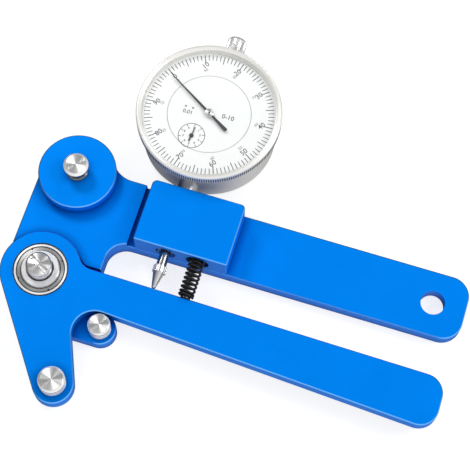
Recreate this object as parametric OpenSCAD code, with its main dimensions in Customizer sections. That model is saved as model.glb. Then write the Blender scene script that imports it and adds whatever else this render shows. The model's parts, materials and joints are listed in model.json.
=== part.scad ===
// Spoke tension meter: a frame and a lever that work like shears on one bearing. A spoke lies across
// three posts, the spring opens the handles, and a dial gauge reads how far the lever has moved.
// Frame of the model: the lever turns about Z at the origin, the handles run along +X, the gauge
// stands on the +Y side, and the back of the frame plate lies on z = 0.

/* [Frame] */
// Thickness of the frame plate
plate_t = 6; // [5:0.5:8]
// Height of the raised head above the plate
head_rise = 3; // [2.5:0.5:3.5]
// Distance from the lever axis to the free end of the frame handle
frame_reach = 162.4; // [130:0.2:200]
// Width of the frame handle
handle_w = 25.9; // [22:0.1:32]
// Distance from the lever axis up to the lower edge of the frame handle
handle_low = 21; // [20:0.5:23]
// Corner radius of the handle ends
corner_r = 8; // [4:0.5:9]
// Radius of the head around the anvil disc
head_r = 15.2; // [14:0.1:16]
// Place of the anvil disc, along the handle
anvil_x = 0.6; // [0:0.1:2]
// Place of the anvil disc, across the handle
anvil_y = 42.4; // [41:0.1:46]
// Right edge of the frame's neck
neck_x = 21.8; // [21:0.1:23]
// Radius of the fillet under the neck
neck_fillet_r = 8; // [6:0.5:9]
// Radius of the fillet between the head and the handle
head_fillet_r = 10.6; // [8:0.2:14]
// Width of the slot between the raised head and the gauge block
slot_w = 3; // [2:0.5:5]
// Size of the 45 degree break on the edges of the blue pieces
edge_break = 0.4; // [0.2:0.1:0.6]
// Diameter of the hanging hole
hang_d = 9.6; // [5:0.1:12]
// Distance from the end of the frame to the middle of the hanging hole
hang_inset = 13.2; // [10:0.1:20]

/* [Lever] */
// Thickness of the lever
lever_t = 6; // [5.5:0.5:7]
// Running gap between the lever and the frame plate
lever_gap = 0.2; // [0.1:0.05:0.4]
// Radius of the lever's boss
boss_r = 15.9; // [15:0.1:16.4]
// Distance from the lever axis to the free end of the lever
lever_reach = 161.8; // [130:0.2:200]
// Height of the lever's upper edge, at the boss
lever_top = 5.95; // [5.5:0.05:6.5]
// Fall of the lever's upper edge towards its end
lever_fall = 1.65; // [0:0.05:3]
// Width of the lever's handle at its end
lever_end_w = 20.4; // [17:0.1:24]
// Corner radius of the lever's end
lever_corner_r = 7.5; // [4:0.5:8]
// Radius of the hollow that clears the stop post
hollow_r = 8.7; // [8:0.1:10]
// Radius of the foot's end
foot_r = 8; // [7.5:0.1:9]
// Place of the foot post, along the handle
foot_x = 19.6; // [16:0.1:22]
// Place of the foot post, across the handle
foot_y = -41.2; // [-50:0.1:-38]

/* [Bearing] */
// Outer diameter of the ball bearing
bearing_od = 21; // [20:0.5:22]
// Bore of the ball bearing
bearing_id = 12; // [11:0.5:12.5]
// Width of the ball bearing
bearing_w = 5; // [4:0.5:5]
// Diameter of the balls
ball_d = 2.4; // [2:0.1:2.4]
// Number of balls
ball_count = 12; // [8:1:13]

/* [Posts] */
// Diameter of the pivot stud's cap
stud_cap_d = 10; // [8:0.1:10.6]
// Diameter of the pivot stud's flange
stud_flange_d = 15; // [14:0.1:16]
// Height of the top of the pivot stud
stud_top = 18.8; // [17:0.1:21]
// Diameter of the anvil disc
disc_d = 31; // [28:0.5:32]
// Thickness of the anvil disc
disc_t = 5.5; // [4:0.1:7]
// Diameter of the disc post's cap
disc_post_d = 9.9; // [8:0.1:12]
// Height of the disc post above the disc
disc_post_h = 7; // [5:0.1:9]
// Diameter of the foot post
foot_post_d = 10.4; // [8:0.1:12]
// Height of the foot post above the lever
foot_post_h = 5.6; // [4:0.1:8]
// Diameter of the stop post
stop_post_d = 8.8; // [7:0.1:8.8]
// Height of the stop post above the plate
stop_post_h = 6; // [4:0.1:8]
// Diameter of the post and block screws
screw_d = 4; // [3:0.5:4]

/* [Gauge block] */
// Left face of the gauge block
block_x = 31; // [30:0.5:32]
// Length of the gauge block
block_l = 38; // [34:0.5:44]
// Height of the gauge block across the handle
block_w = 25.9; // [24:0.1:28]
// Thickness of the gauge block
block_t = 11.5; // [11:0.5:14]
// Distance from the lever axis to the gauge spindle
spindle_x = 44; // [42:0.5:46]
// Height of the gauge spindle above the back of the frame
spindle_z = 11; // [10.5:0.5:12]
// Distance from the lever axis to the opening spring
spring_x = 57; // [55:0.5:60]

/* [Opening spring] */
// Outer diameter of the opening spring
spring_d = 6.5; // [5.5:0.1:7]
// Wire of the opening spring
spring_wire = 1; // [0.8:0.1:1.1]
// Rise of each curl
spring_pitch = 1.8; // [1.7:0.05:2.4]
// Diameter of the pocket that holds the spring
pocket_d = 9.3; // [8.5:0.1:10]
// Depth of the pocket that holds the spring
pocket_depth = 10; // [6:0.5:14]

/* [Dial gauge] */
// Diameter of the bezel
bezel_d = 58; // [56:0.5:64]
// Diameter of the gauge case
case_d = 54; // [53:0.5:56]
// Wall of the gauge case
case_wall = 2; // [1.8:0.1:2.5]
// Distance from the lever axis up to the middle of the dial
dial_y = 78.5; // [77:0.5:90]
// Height of the back of the case above the back of the frame
case_back = 3; // [1:0.5:4]
// Height of the front edge of the case
case_front = 19.6; // [19.4:0.1:21]
// Height of the front edge of the bezel
bezel_front = 24.4; // [24.2:0.1:26]
// Height of the dial face
face_z = 21.4; // [21.2:0.1:21.6]
// Diameter of the fixed inner face
inner_face_d = 33.5; // [30:0.5:36]
// Diameter of the stem
stem_d = 8; // [7:0.1:8.4]
// Diameter of the spindle
spindle_d = 4; // [3.5:0.1:4.2]
// Middle of the counter dial from the middle of the main dial, to the left
counter_dx = 3.9; // [3.8:0.05:4.1]
// Middle of the counter dial from the middle of the main dial, downwards
counter_dy = 11; // [10:0.1:12]
// Diameter of the lifting cap
cap_d = 8; // [6:0.5:10]
// Length of the lifting cap
cap_l = 8; // [6:0.5:12]

/* [Hidden] */
$fn = 96;

// Teeth of the wheel that turns the centre pinion
wheel_teeth = 100;
// Teeth of the centre pinion
pinion_teeth = 10;
// Teeth of the pinion that runs on the rack
rack_pinion_teeth = 16;
// Travel of the spindle in one turn of the counter pointer
travel_per_turn = 10;

eps = 0.01;
blue = [0.0, 0.47, 0.93];
steel = [0.78, 0.79, 0.8];
satin = [0.86, 0.86, 0.87];
brass = [0.8, 0.65, 0.3];
dark = [0.12, 0.12, 0.13];
paper = [0.94, 0.94, 0.93];

press = 0.02;          // radial gap of pieces that are pressed or screwed together
running = 0.04;        // radial gap of shafts that turn or slide
head_top = plate_t + head_rise;
lever_back = plate_t + lever_gap;
lever_front = lever_back + lever_t;
disc_front = head_top + disc_t;
block_front = plate_t + block_t;
lever_bore_back = lever_front - bearing_w;

// Outlines of the blue pieces: circles joined by tangent lines, anticlockwise. A negative radius
// is a hollow, so that the outline passes on the other side of that circle.
hidden_r = 15;         // boss of the frame, covered by the lever's boss
tab_r = 6.3;
stop_x = 28.7;
stop_y = -14.2;
tuck_r = 6;
tab_fillet_r = 3;
handle_top = handle_low + handle_w;
head_fillet_y = handle_top + head_fillet_r;
head_fillet_x = anvil_x + sqrt((head_r + head_fillet_r - 0.005)^2 - (head_fillet_y - anvil_y)^2);
FRAME = [[stop_x, stop_y, tab_r],
         [neck_x + tab_fillet_r, -tab_fillet_r, -tab_fillet_r],
         [neck_x + neck_fillet_r, handle_low - neck_fillet_r, -neck_fillet_r],
         [frame_reach - corner_r, handle_low + corner_r, corner_r],
         [frame_reach - corner_r, handle_top - corner_r, corner_r],
         [head_fillet_x, head_fillet_y, -head_fillet_r],
         [anvil_x, anvil_y, head_r],
         [0, 0, hidden_r],
         [1, stop_y - tab_r + tuck_r, tuck_r]];

root_fillet_r = 6;     // hollow between the lever's boss and its upper edge
hollow_x = 28;
hollow_y = -18;
root_y = lever_top + root_fillet_r;
root_x = sqrt((boss_r + root_fillet_r - 0.005)^2 - root_y^2);
lever_end_top = lever_top - lever_fall;
LEVER = [[foot_x, foot_y, foot_r],
         [hollow_x, hollow_y, -hollow_r],
         [lever_reach - lever_corner_r, lever_end_top - lever_end_w + lever_corner_r, lever_corner_r],
         [lever_reach - lever_corner_r, lever_end_top - lever_corner_r, lever_corner_r],
         [root_x, root_y, -root_fillet_r],
         [0, 0, boss_r]];

// Height of the lever's upper edge at a place along it
function lever_edge(x) = lever_top - lever_fall * (x - root_x) / (lever_reach - lever_corner_r - root_x);

// Each straight edge runs a hair inside its circles, so that line and arc cross cleanly
bite = 0.005;
function lean(r) = r > 0 ? r - bite : r + bite;
// Angle of the outward normal of the line from circle a to circle b
function tangent_angle(a, b) =
    let (d = [b[0] - a[0], b[1] - a[1]],
         ratio = min(1, max(-1, (lean(a[2]) - lean(b[2])) / norm(d))))
    atan2(d[1], d[0]) - acos(ratio);
function on_circle(c, angle) = [c[0] + lean(c[2]) * cos(angle), c[1] + lean(c[2]) * sin(angle)];
function next(chain, i) = chain[(i + 1) % len(chain)];
function tangent_line(chain, i) =
    let (angle = tangent_angle(chain[i], next(chain, i)))
    [on_circle(chain[i], angle), on_circle(next(chain, i), angle), angle];
function line_length(line) = norm(line[1] - line[0]);
function outline_points(chain) =
    [for (i = [0 : len(chain) - 1])
        let (line = tangent_line(chain, i))
        each (line_length(line) > 0.5 ? [line[0], line[1]] : [line[0]])];

module outline(chain) {
    difference() {
        union() {
            polygon(outline_points(chain));
            for (c = chain) if (c[2] > 0) translate([c[0], c[1]]) circle(r = c[2]);
        }
        for (c = chain) if (c[2] < 0) translate([c[0], c[1]]) circle(r = -c[2]);
    }
}

// What a 45 degree break takes off the top edge of an outline, at height z
module break_cutter(chain, z) {
    over = 0.1;
    lap = 0.02;
    lap_angle = 1;
    c = edge_break;
    for (i = [0 : len(chain) - 1]) {
        line = tangent_line(chain, i);
        before = tangent_line(chain, (i + len(chain) - 1) % len(chain));
        length = line_length(line);
        if (length > 0.5)
            translate([line[0][0], line[0][1], z]) rotate([0, 0, line[2]]) rotate([-90, 0, 0])
                mirror([0, 1, 0]) translate([0, 0, -lap]) linear_extrude(length + 2 * lap)
                    polygon([[-c - over, over], [over, -c - over], [over, over]]);
        r = chain[i][2];
        out = sign(r);
        turn = line[2] - before[2];
        sweep = out > 0 ? (turn % 360 + 360) % 360 : -((-turn % 360 + 360) % 360);
        if (abs(sweep) > 0.01)
            translate([chain[i][0], chain[i][1], z])
                rotate([0, 0, (out > 0 ? before[2] : before[2] + 180) - out * lap_angle])
                    rotate_extrude(angle = sweep + 2 * out * lap_angle)
                        polygon([[abs(r) + out * (-c - over), over], [abs(r) + out * over, -c - over],
                                 [abs(r) + out * over, over]]);
    }
}

module screw_hole(x, y, d, z0, z1) {
    translate([x, y, z0]) cylinder(d = d, h = z1 - z0);
}

// Countersunk hole from the back, for a screw head at height z
module sunk_hole(x, y, z, through) {
    translate([x, y, z - eps]) {
        cylinder(d = screw_d + 2 * press, h = through + 2 * eps);
        cylinder(d1 = 2 * screw_d + 2 * press + 2 * eps, d2 = screw_d + 2 * press, h = screw_d / 2 + eps);
    }
}

// Countersunk socket screw that points up from its head
module sunk_screw(x, y, z, length) {
    socket = screw_d * 0.6;
    sunk = 0.1;
    head_d = 2 * screw_d - 2 * sunk - 0.05;
    translate([x, y, z + sunk])
        difference() {
            union() {
                cylinder(d = screw_d, h = length);
                cylinder(d1 = head_d, d2 = screw_d, h = (head_d - screw_d) / 2);
            }
            translate([0, 0, -eps]) cylinder(d = socket, h = screw_d * 0.55, $fn = 6);
        }
}

/* Frame */
screw_grip = 8;        // how far the screws reach past the plate
post_hole_r = screw_d / 2 + press;
pocket_r = boss_r + 0.3; // hollow of the raised head round the lever's boss
pocket_y = lever_top + 1.8;
lever_swing = 4.2;     // a little more than the lever can close
stud_thread_d = 8;
block_screw_xs = [block_x + 4.5, block_x + block_l - 4];
block_screw_y = handle_low + 13;

// What the hollow at the root of the lever needs of the head as the lever closes
module root_room() {
    start_y = boss_r * root_y / (boss_r + root_fillet_r);
    difference() {
        translate([root_x - root_fillet_r, 0]) square([root_fillet_r, start_y]);
        translate([root_x, root_y]) circle(r = root_fillet_r - 0.35);
    }
}

module frame_plate() {
    color(blue) difference() {
        union() {
            linear_extrude(plate_t) outline(FRAME);
            translate([0, 0, plate_t - eps]) linear_extrude(head_rise + eps)
                difference() {
                    outline(FRAME);
                    circle(r = pocket_r);
                    translate([-60, -100]) square([200, 100 + pocket_y]);
                    rotate(lever_swing) root_room();
                    translate([block_x - slot_w, -100]) square([300, 300]);
                }
        }
        intersection() {
            break_cutter(FRAME, plate_t);
            translate([block_x - slot_w + eps, -100, 0]) cube([300, 300, 100]);
        }
        intersection() {
            break_cutter(FRAME, head_top);
            translate([-100, pocket_y, 0]) cube([100 + block_x - slot_w, 300, 100]);
        }
        screw_hole(0, 0, stud_thread_d + 2 * press, -eps, plate_t + eps);
        screw_hole(frame_reach - hang_inset, handle_low + 13.2, hang_d, -eps, plate_t + eps);
        screw_hole(anvil_x, anvil_y, disc_seat_d + 2 * press, head_top - 2, head_top + 1);
        sunk_hole(anvil_x, anvil_y, 0, head_top);
        sunk_hole(stop_x, stop_y, 0, plate_t);
        for (x = block_screw_xs) sunk_hole(x, block_screw_y, 0, plate_t);
    }
}

block_low = handle_low + 0.2;
block_high = block_low + block_w;
block_high_r = 2;
block_low_r = edge_break + 0.2;
BLOCK = [[block_x + block_l - block_low_r, block_low + block_low_r, block_low_r],
         [block_x + block_l - block_high_r, block_high - block_high_r, block_high_r],
         [block_x + block_high_r, block_high - block_high_r, block_high_r],
         [block_x + block_low_r, block_low + block_low_r, block_low_r]];
grub_y = handle_low + 19;
grub_d = 4;

module gauge_block() {
    color(blue) difference() {
        translate([0, 0, plate_t]) linear_extrude(block_t) outline(BLOCK);
        break_cutter(BLOCK, block_front);
        along_spindle(block_low - 1, stem_d + 2 * press, block_w + 2);
        along_spindle(block_low - 1, pocket_d, pocket_depth + 1, spring_x);
        for (x = block_screw_xs)
            screw_hole(x, block_screw_y, 2 * post_hole_r, plate_t - eps, plate_t + screw_grip);
        translate([block_x - 1, grub_y, spindle_z]) rotate([0, 90, 0])
            cylinder(d = grub_d + 2 * press, h = spindle_x - block_x);
    }
}

module block_screws() {
    color(dark) for (x = block_screw_xs) sunk_screw(x, block_screw_y, 0, plate_t + screw_grip - 1);
}

module stem_grub_screw() {
    length = spindle_x - stem_d / 2 - block_x - 0.6;
    color(dark) translate([block_x + 0.5, grub_y, spindle_z]) rotate([0, 90, 0]) difference() {
        cylinder(d = grub_d, h = length);
        translate([0, 0, -eps]) cylinder(d = 2, h = 2.5, $fn = 6);
    }
}

/* Posts */
disc_seat_d = 6;
module anvil_disc() {
    color(blue) translate([anvil_x, anvil_y, head_top]) rotate_extrude()
        polygon([[disc_seat_d / 2 + press, 0], [disc_d / 2 - edge_break, 0], [disc_d / 2, edge_break],
                 [disc_d / 2, disc_t - edge_break], [disc_d / 2 - edge_break, disc_t],
                 [disc_seat_d / 2 + press, disc_t]]);
}

neck_d = 7.4;
module disc_post() {
    cap_h = 2.2;
    bevel = 1;
    r = disc_post_d / 2;
    top = disc_front + disc_post_h;
    color(steel) translate([anvil_x, anvil_y, 0]) difference() {
        rotate_extrude()
            polygon([[0, head_top - 1.9], [disc_seat_d / 2, head_top - 1.9], [disc_seat_d / 2, disc_front],
                     [neck_d / 2 + 0.6, disc_front], [neck_d / 2 + 0.6, disc_front + 0.6],
                     [neck_d / 2, disc_front + 1], [neck_d / 2, top - cap_h], [r, top - cap_h + 0.4],
                     [r, top - bevel], [r - bevel, top], [0, top]]);
        translate([0, 0, head_top - 3]) cylinder(r = post_hole_r, h = 3 + disc_t);
    }
}

// Plain round post with a bevelled top, drilled from below for its screw
module plain_post(x, y, z, d, h, bevel) {
    translate([x, y, z]) difference() {
        rotate_extrude() polygon([[0, 0], [d / 2, 0], [d / 2, h - bevel], [d / 2 - bevel, h], [0, h]]);
        translate([0, 0, -eps]) cylinder(r = post_hole_r, h = h - 1.6);
    }
}

module stop_post() {
    color(steel) plain_post(stop_x, stop_y, plate_t, stop_post_d, stop_post_h, 0.7);
}

module foot_post() {
    color(steel) plain_post(foot_x, foot_y, lever_front, foot_post_d, foot_post_h, 0.8);
}

module frame_post_screws() {
    color(dark) {
        sunk_screw(anvil_x, anvil_y, 0, disc_front - 1.5);
        sunk_screw(stop_x, stop_y, 0, plate_t + stop_post_h - 2.2);
    }
}

module foot_post_screw() {
    color(dark) sunk_screw(foot_x, foot_y, lever_back, lever_t + foot_post_h - 2.2);
}

stud_flange_h = 1.2;
module pivot_stud() {
    cap_h = 1.8;
    bevel = 0.5;
    r = stud_cap_d / 2;
    stud_neck_d = 7.5;
    slot = 1.6;
    flange = lever_front + stud_flange_h;
    color(steel) difference() {
        rotate_extrude()
            polygon([[0, 0], [stud_thread_d / 2, 0], [stud_thread_d / 2, plate_t + 1],
                     [bearing_id / 2 - press, plate_t + 1.2], [bearing_id / 2 - press, lever_front],
                     [stud_flange_d / 2, lever_front], [stud_flange_d / 2, flange - 0.3],
                     [stud_flange_d / 2 - 0.3, flange], [stud_neck_d / 2 + 0.8, flange],
                     [stud_neck_d / 2 + 0.8, flange + 0.9], [stud_neck_d / 2, flange + 1.2],
                     [stud_neck_d / 2, stud_top - cap_h - 0.3], [r, stud_top - cap_h],
                     [r, stud_top - bevel], [r - bevel, stud_top], [0, stud_top]]);
        rotate([0, 0, -30]) translate([-r - 1, -slot / 2, stud_top - 1.2]) cube([2 * r + 2, slot, 2]);
    }
}

module pivot_spacer() {
    color(steel) translate([0, 0, plate_t]) difference() {
        cylinder(d = bearing_id + 2.2, h = lever_bore_back - plate_t);
        translate([0, 0, -1]) cylinder(d = bearing_id + 2 * press, h = lever_bore_back);
    }
}

/* Ball bearing */
ball_pitch_r = (bearing_od + bearing_id) / 4;
ring_wall = 1.2;
groove_r = ball_d / 2 + running;
bearing_z = lever_bore_back + bearing_w / 2;

module bearing_ring(inside, outside) {
    half = bearing_w / 2;
    b = 0.3;
    color(steel) translate([0, 0, bearing_z]) rotate_extrude() difference() {
        polygon([[inside, b - half], [inside + b, -half], [outside - b, -half], [outside, b - half],
                 [outside, half - b], [outside - b, half], [inside + b, half], [inside, half - b]]);
        translate([ball_pitch_r, 0]) circle(r = groove_r);
    }
}

module bearing_inner_ring() {
    bearing_ring(bearing_id / 2, bearing_id / 2 + ring_wall);
}

module bearing_outer_ring() {
    bearing_ring(bearing_od / 2 - ring_wall, bearing_od / 2);
}

module bearing_balls() {
    color(steel) for (i = [0 : ball_count - 1])
        rotate([0, 0, i * 360 / ball_count]) translate([ball_pitch_r, 0, bearing_z]) sphere(d = ball_d);
}

module bearing_cage() {
    wall = 0.4;
    half = ball_d / 2 + 0.4;
    color(brass) difference() {
        translate([0, 0, bearing_z - half]) rotate_extrude()
            translate([ball_pitch_r - wall, 0]) square([2 * wall, 2 * half]);
        for (i = [0 : ball_count - 1])
            rotate([0, 0, i * 360 / ball_count]) translate([ball_pitch_r - 2, 0, bearing_z])
                rotate([0, 90, 0]) cylinder(r = groove_r, h = 4);
    }
}

module bearing_shields() {
    inner_r = bearing_id / 2 + ring_wall + 0.2;
    outer_r = bearing_od / 2 - ring_wall - press;
    color(satin) for (z = [lever_bore_back + 0.2, lever_front - 0.45])
        translate([0, 0, z]) difference() {
            cylinder(r = outer_r, h = 0.25);
            translate([0, 0, -1]) cylinder(r = inner_r, h = 3);
        }
}

/* Lever */
pin_hole_d = 2;
pin_depth = 4;
module lever() {
    color(blue) difference() {
        translate([0, 0, lever_back]) linear_extrude(lever_t) outline(LEVER);
        break_cutter(LEVER, lever_front);
        translate([0, 0, lever_bore_back]) cylinder(d = bearing_od + 2 * press, h = bearing_w + 1);
        translate([0, 0, lever_back - 1]) cylinder(d = bearing_od - 2 * ring_wall - 0.6, h = 3);
        translate([0, 0, lever_front - edge_break])
            cylinder(d1 = bearing_od + 2 * press, d2 = bearing_od + 2 * press + 2 * edge_break + 0.02,
                     h = edge_break + eps);
        translate([spring_x, lever_edge(spring_x) - pin_depth, spindle_z]) rotate([-90, 0, 0])
            cylinder(d = pin_hole_d + 2 * press, h = pin_depth + 2);
        translate([foot_x, foot_y, 0]) cylinder(r = post_hole_r, h = 40);
        sunk_hole(foot_x, foot_y, lever_back, lever_t);
    }
}

spring_pin_d = 4;
spring_pin_l = 3;
module spring_pin() {
    seat = lever_edge(spring_x) + 0.05;
    color(steel) translate([spring_x, seat, spindle_z]) rotate([-90, 0, 0]) union() {
        translate([0, 0, 0.1 - pin_depth]) cylinder(d = pin_hole_d, h = pin_depth);
        rotate_extrude()
            polygon([[0, 0], [spring_pin_d / 2, 0], [spring_pin_d / 2, spring_pin_l - 0.8],
                     [spring_pin_d / 2 - 0.8, spring_pin_l], [0, spring_pin_l]]);
    }
}

/* Opening spring: one tube. It leaves each seat square to it, bends over and winds as a helix. */
spring_r = (spring_d - spring_wire) / 2;
spring_low = lever_edge(spring_x) + 0.3;
spring_high = block_low + pocket_depth - 0.2;
bend_r = 1.1;
lead = atan(spring_pitch / (2 * PI * spring_r));
bend_rise = bend_r * sin(90 - lead);
bend_run = bend_r * (1 - cos(90 - lead));
spring_turns = (spring_high - spring_low - 2 * (spring_wire + bend_rise)) / spring_pitch;
rings_per_turn = 8;
bend_rings = 4;
helix_rings = ceil(spring_turns * rings_per_turn);
helix_run = spring_turns * 2 * PI * spring_r;
// Each ring's middle: how far round the helix it is, and how high
bend_up = [for (i = [0 : bend_rings])
              let (t = i / bend_rings * (90 - lead))
              [bend_r * (1 - cos(t)), spring_wire + bend_r * sin(t), 90 - t]];
wound = [for (i = [1 : helix_rings - 1])
            let (k = i / helix_rings)
            [bend_run + k * helix_run, spring_wire + bend_rise + k * spring_turns * spring_pitch, lead]];
whole_run = 2 * bend_run + helix_run;
whole_rise = spring_high - spring_low;
bend_down = [for (i = [bend_rings : -1 : 0])
                [whole_run - bend_up[i][0], whole_rise - bend_up[i][1], bend_up[i][2]]];
spring_route = concat([[0, 0, 90]], bend_up, wound, bend_down, [[whole_run, whole_rise, 90]]);
function route_point(p) =
    let (a = p[0] / spring_r * 180 / PI)
    [spring_r * cos(a), p[1], spring_r * sin(a)];
function ring_point(p, side) =
    let (a = p[0] / spring_r * 180 / PI, b = side * 60,
         outward = [cos(a), 0, sin(a)],
         across = [sin(a) * sin(p[2]), cos(p[2]), -cos(a) * sin(p[2])])
    route_point(p) + spring_wire / 2 * (cos(b) * outward + sin(b) * across);
spring_gap = min([for (i = [0 : len(spring_route) - 1]) for (j = [i + 5 : 1 : len(spring_route) - 1])
                     if (spring_route[j][0] - spring_route[i][0] > PI * spring_r)
                         norm(route_point(spring_route[i]) - route_point(spring_route[j]))]) - spring_wire;
echo(spring_gap_to_itself = spring_gap, spring_turns = spring_turns);

module compression_spring() {
    n = len(spring_route);
    points = [for (p = spring_route) for (side = [0 : 5]) ring_point(p, side)];
    sides = [for (i = [0 : n - 2]) for (s = [0 : 5])
                let (a = i * 6 + s, b = i * 6 + (s + 1) % 6)
                each [[a, b, b + 6], [a, b + 6, a + 6]]];
    first_end = [for (s = [1 : 4]) [0, s + 1, s]];
    last_end = [for (s = [1 : 4]) [(n - 1) * 6, (n - 1) * 6 + s, (n - 1) * 6 + s + 1]];
    color(dark) translate([spring_x, spring_low, spindle_z])
        polyhedron(points, concat(sides, first_end, last_end));
}

/* Dial gauge */
case_r = case_d / 2;
case_inner_r = case_r - case_wall;
cover_t = 1.6;
floor_z = case_back + cover_t + 0.05;
floor_t = 1.4;
floor_top = floor_z + floor_t;
spigot_r = case_r - 1.1;
spigot_h = 1.3;
stem_low = handle_low + 1.5;
stem_bore_d = stem_d - 2;
cover_screw_d = 2;
cover_screw_r = case_inner_r - 3;
pillar_xs = [-17, 17];
pillar_ys = [-9, 9];
pillar_d = 3.2;
pillar_bore_d = 1.5;
middle_z = 13.6;
plate_sheet = 0.8;
front_plate_z = 17.4;
arbor_d = 1;
wheel_t = 0.6;
wheel_z = 15.3;
snap_z = case_front + 0.5;

// Puts its children at the middle of the dial, at height z
module at_dial(z = 0) {
    translate([spindle_x, dial_y, z]) children();
}

// A cylinder that runs along +Y from y, on the spindle's axis
module along_spindle(y, d, length, x = spindle_x) {
    translate([x, y, spindle_z]) rotate([-90, 0, 0]) cylinder(d = d, h = length);
}

module ring(outer_r, inner_r, h) {
    difference() {
        cylinder(r = outer_r, h = h);
        translate([0, 0, -1]) cylinder(r = inner_r, h = h + 2);
    }
}

module dial_case() {
    color(satin) difference() {
        union() {
            at_dial(case_back) ring(case_r, case_inner_r, case_front - case_back);
            at_dial(case_front - 1) ring(spigot_r, case_inner_r, spigot_h + 1);
            at_dial(floor_z) cylinder(r = case_inner_r + 0.5, h = floor_t);
            for (i = [0 : 3]) at_dial(floor_z) rotate([0, 0, 45 + 90 * i])
                translate([cover_screw_r, 0, 0]) cylinder(d = 4.5, h = floor_t + 3);
        }
        at_dial(snap_z) ring(case_r, spigot_r - 0.5, 0.5);
        along_spindle(dial_y - case_r - 1, stem_d + 2 * press, case_wall + 2);
        along_spindle(dial_y + case_r - case_wall - 1, stem_bore_d + 2 * press, case_wall + 2);
        at_dial(floor_z - eps) translate([-counter_dx, -counter_dy, 0])
            cylinder(r = arbor_d / 2 + running, h = floor_t + 1);
        for (i = [0 : 3]) at_dial(floor_z - eps) rotate([0, 0, 45 + 90 * i])
            translate([cover_screw_r, 0, 0]) cylinder(d = cover_screw_d + 2 * press, h = 3.5);
        for (x = pillar_xs) for (y = pillar_ys)
            at_dial(floor_z - eps) translate([x, y, 0])
                cylinder(d = pillar_bore_d + 2 * press, h = floor_t + 1);
    }
}

module back_cover() {
    color(satin) difference() {
        at_dial(case_back) rotate_extrude()
            polygon([[0, 0], [case_inner_r - 0.4, 0], [case_inner_r - press, 0.4],
                     [case_inner_r - press, cover_t], [0, cover_t]]);
        for (i = [0 : 3]) at_dial(case_back - eps) rotate([0, 0, 45 + 90 * i])
            translate([cover_screw_r, 0, 0]) {
                cylinder(d = cover_screw_d + 2 * press, h = cover_t + 1);
                cylinder(d1 = 2 * cover_screw_d + 0.1, d2 = cover_screw_d + 0.1, h = cover_screw_d / 2);
            }
    }
}

module back_cover_screws() {
    color(steel) for (i = [0 : 3]) at_dial(case_back + 0.1) rotate([0, 0, 45 + 90 * i])
        translate([cover_screw_r, 0, 0]) difference() {
            union() {
                cylinder(d = cover_screw_d, h = cover_t + 3);
                cylinder(d1 = 2 * cover_screw_d - 0.2, d2 = cover_screw_d, h = cover_screw_d / 2 - 0.1);
            }
            translate([-cover_screw_d, -0.2, -eps]) cube([2 * cover_screw_d, 0.4, 0.5]);
        }
}

module dial_stem() {
    high = dial_y - case_r + case_wall + 0.6;
    color(satin) difference() {
        along_spindle(stem_low, stem_d, high - stem_low);
        along_spindle(stem_low - 1, stem_bore_d, high - stem_low + 2);
    }
}

module guide_bush(y, length) {
    difference() {
        along_spindle(y, stem_bore_d - 2 * press, length);
        along_spindle(y - 1, spindle_d + 2 * running, length + 2);
    }
}

module stem_bush() {
    color(brass) guide_bush(stem_low, 9);
}

top_bush_y = dial_y + case_r - case_wall - 1;
module case_top_bush() {
    color(brass) guide_bush(top_bush_y, case_wall + 2.3);
}

cap_y = dial_y + case_r + 4.5;
tip_y = lever_edge(spindle_x) + 0.15;
collar_y = tip_y + 6.8;
collar_l = 2.6;
spindle_low = collar_y + collar_l;
stub_d = 2.4;
// The rack stands on a flat of the spindle and reaches to the pinion's pitch circle
rack_pitch = travel_per_turn / rack_pinion_teeth;
rack_module = rack_pitch / PI;
rack_pitch_x = spindle_x - counter_dx + rack_module * rack_pinion_teeth / 2;
rack_y = dial_y - counter_dy;
rack_flat_x = spindle_x - spindle_d / 2 + 0.5;
rack_teeth = 26;
rack_w = 2;
addendum = 0.85;       // of the module, a little short so that the teeth run free
dedendum = 1.15;
tooth_fill = 0.82;     // tooth width against half the pitch, less the backlash

module spindle() {
    color(steel) difference() {
        union() {
            along_spindle(spindle_low, spindle_d, cap_y - spindle_low);
            along_spindle(cap_y - 1, stub_d, cap_l - 1);
        }
        along_spindle(spindle_low - 1, stub_d + 2 * press, 5);
        translate([rack_flat_x - 5, rack_y - rack_pitch * rack_teeth / 2, spindle_z - 5])
            cube([5, rack_pitch * rack_teeth, 10]);
    }
}

module spindle_rack() {
    half = rack_pitch * tooth_fill / 4;
    root_x = rack_pitch_x + dedendum * rack_module;
    tip_x = rack_pitch_x - addendum * rack_module;
    slope = tan(20);
    start = rack_y - rack_pitch * rack_teeth / 2;
    teeth = [for (i = [0 : rack_teeth - 1])
                let (y = start + (i + 0.5) * rack_pitch)
                each [[root_x, y - half - slope * dedendum * rack_module],
                      [tip_x, y - half + slope * addendum * rack_module],
                      [tip_x, y + half - slope * addendum * rack_module],
                      [root_x, y + half + slope * dedendum * rack_module]]];
    color(steel) translate([0, 0, spindle_z - rack_w / 2]) linear_extrude(rack_w)
        polygon(concat([[rack_flat_x - press, start + eps]], [[root_x, start + eps]], teeth,
                       [[root_x, start + rack_pitch * rack_teeth - eps],
                        [rack_flat_x - press, start + rack_pitch * rack_teeth - eps]]));
}

module contact_point() {
    collar_d = spindle_d + 1.5;
    ball = 0.9;
    flutes = 20;
    color(steel) translate([spindle_x, tip_y, spindle_z]) rotate([-90, 0, 0]) difference() {
        union() {
            translate([0, 0, ball]) sphere(r = ball);
            translate([0, 0, ball])
                cylinder(r1 = ball, r2 = spindle_d / 2 + 0.2, h = collar_y - tip_y - ball);
            translate([0, 0, collar_y - tip_y]) cylinder(d = collar_d, h = collar_l);
            translate([0, 0, collar_y - tip_y]) cylinder(d = stub_d, h = collar_l + 3.8);
        }
        for (i = [0 : flutes - 1]) rotate([0, 0, i * 360 / flutes])
            translate([collar_d / 2 + 0.15, 0, collar_y - tip_y - eps])
                cylinder(r = 0.3, h = collar_l + 2 * eps);
    }
}

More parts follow.
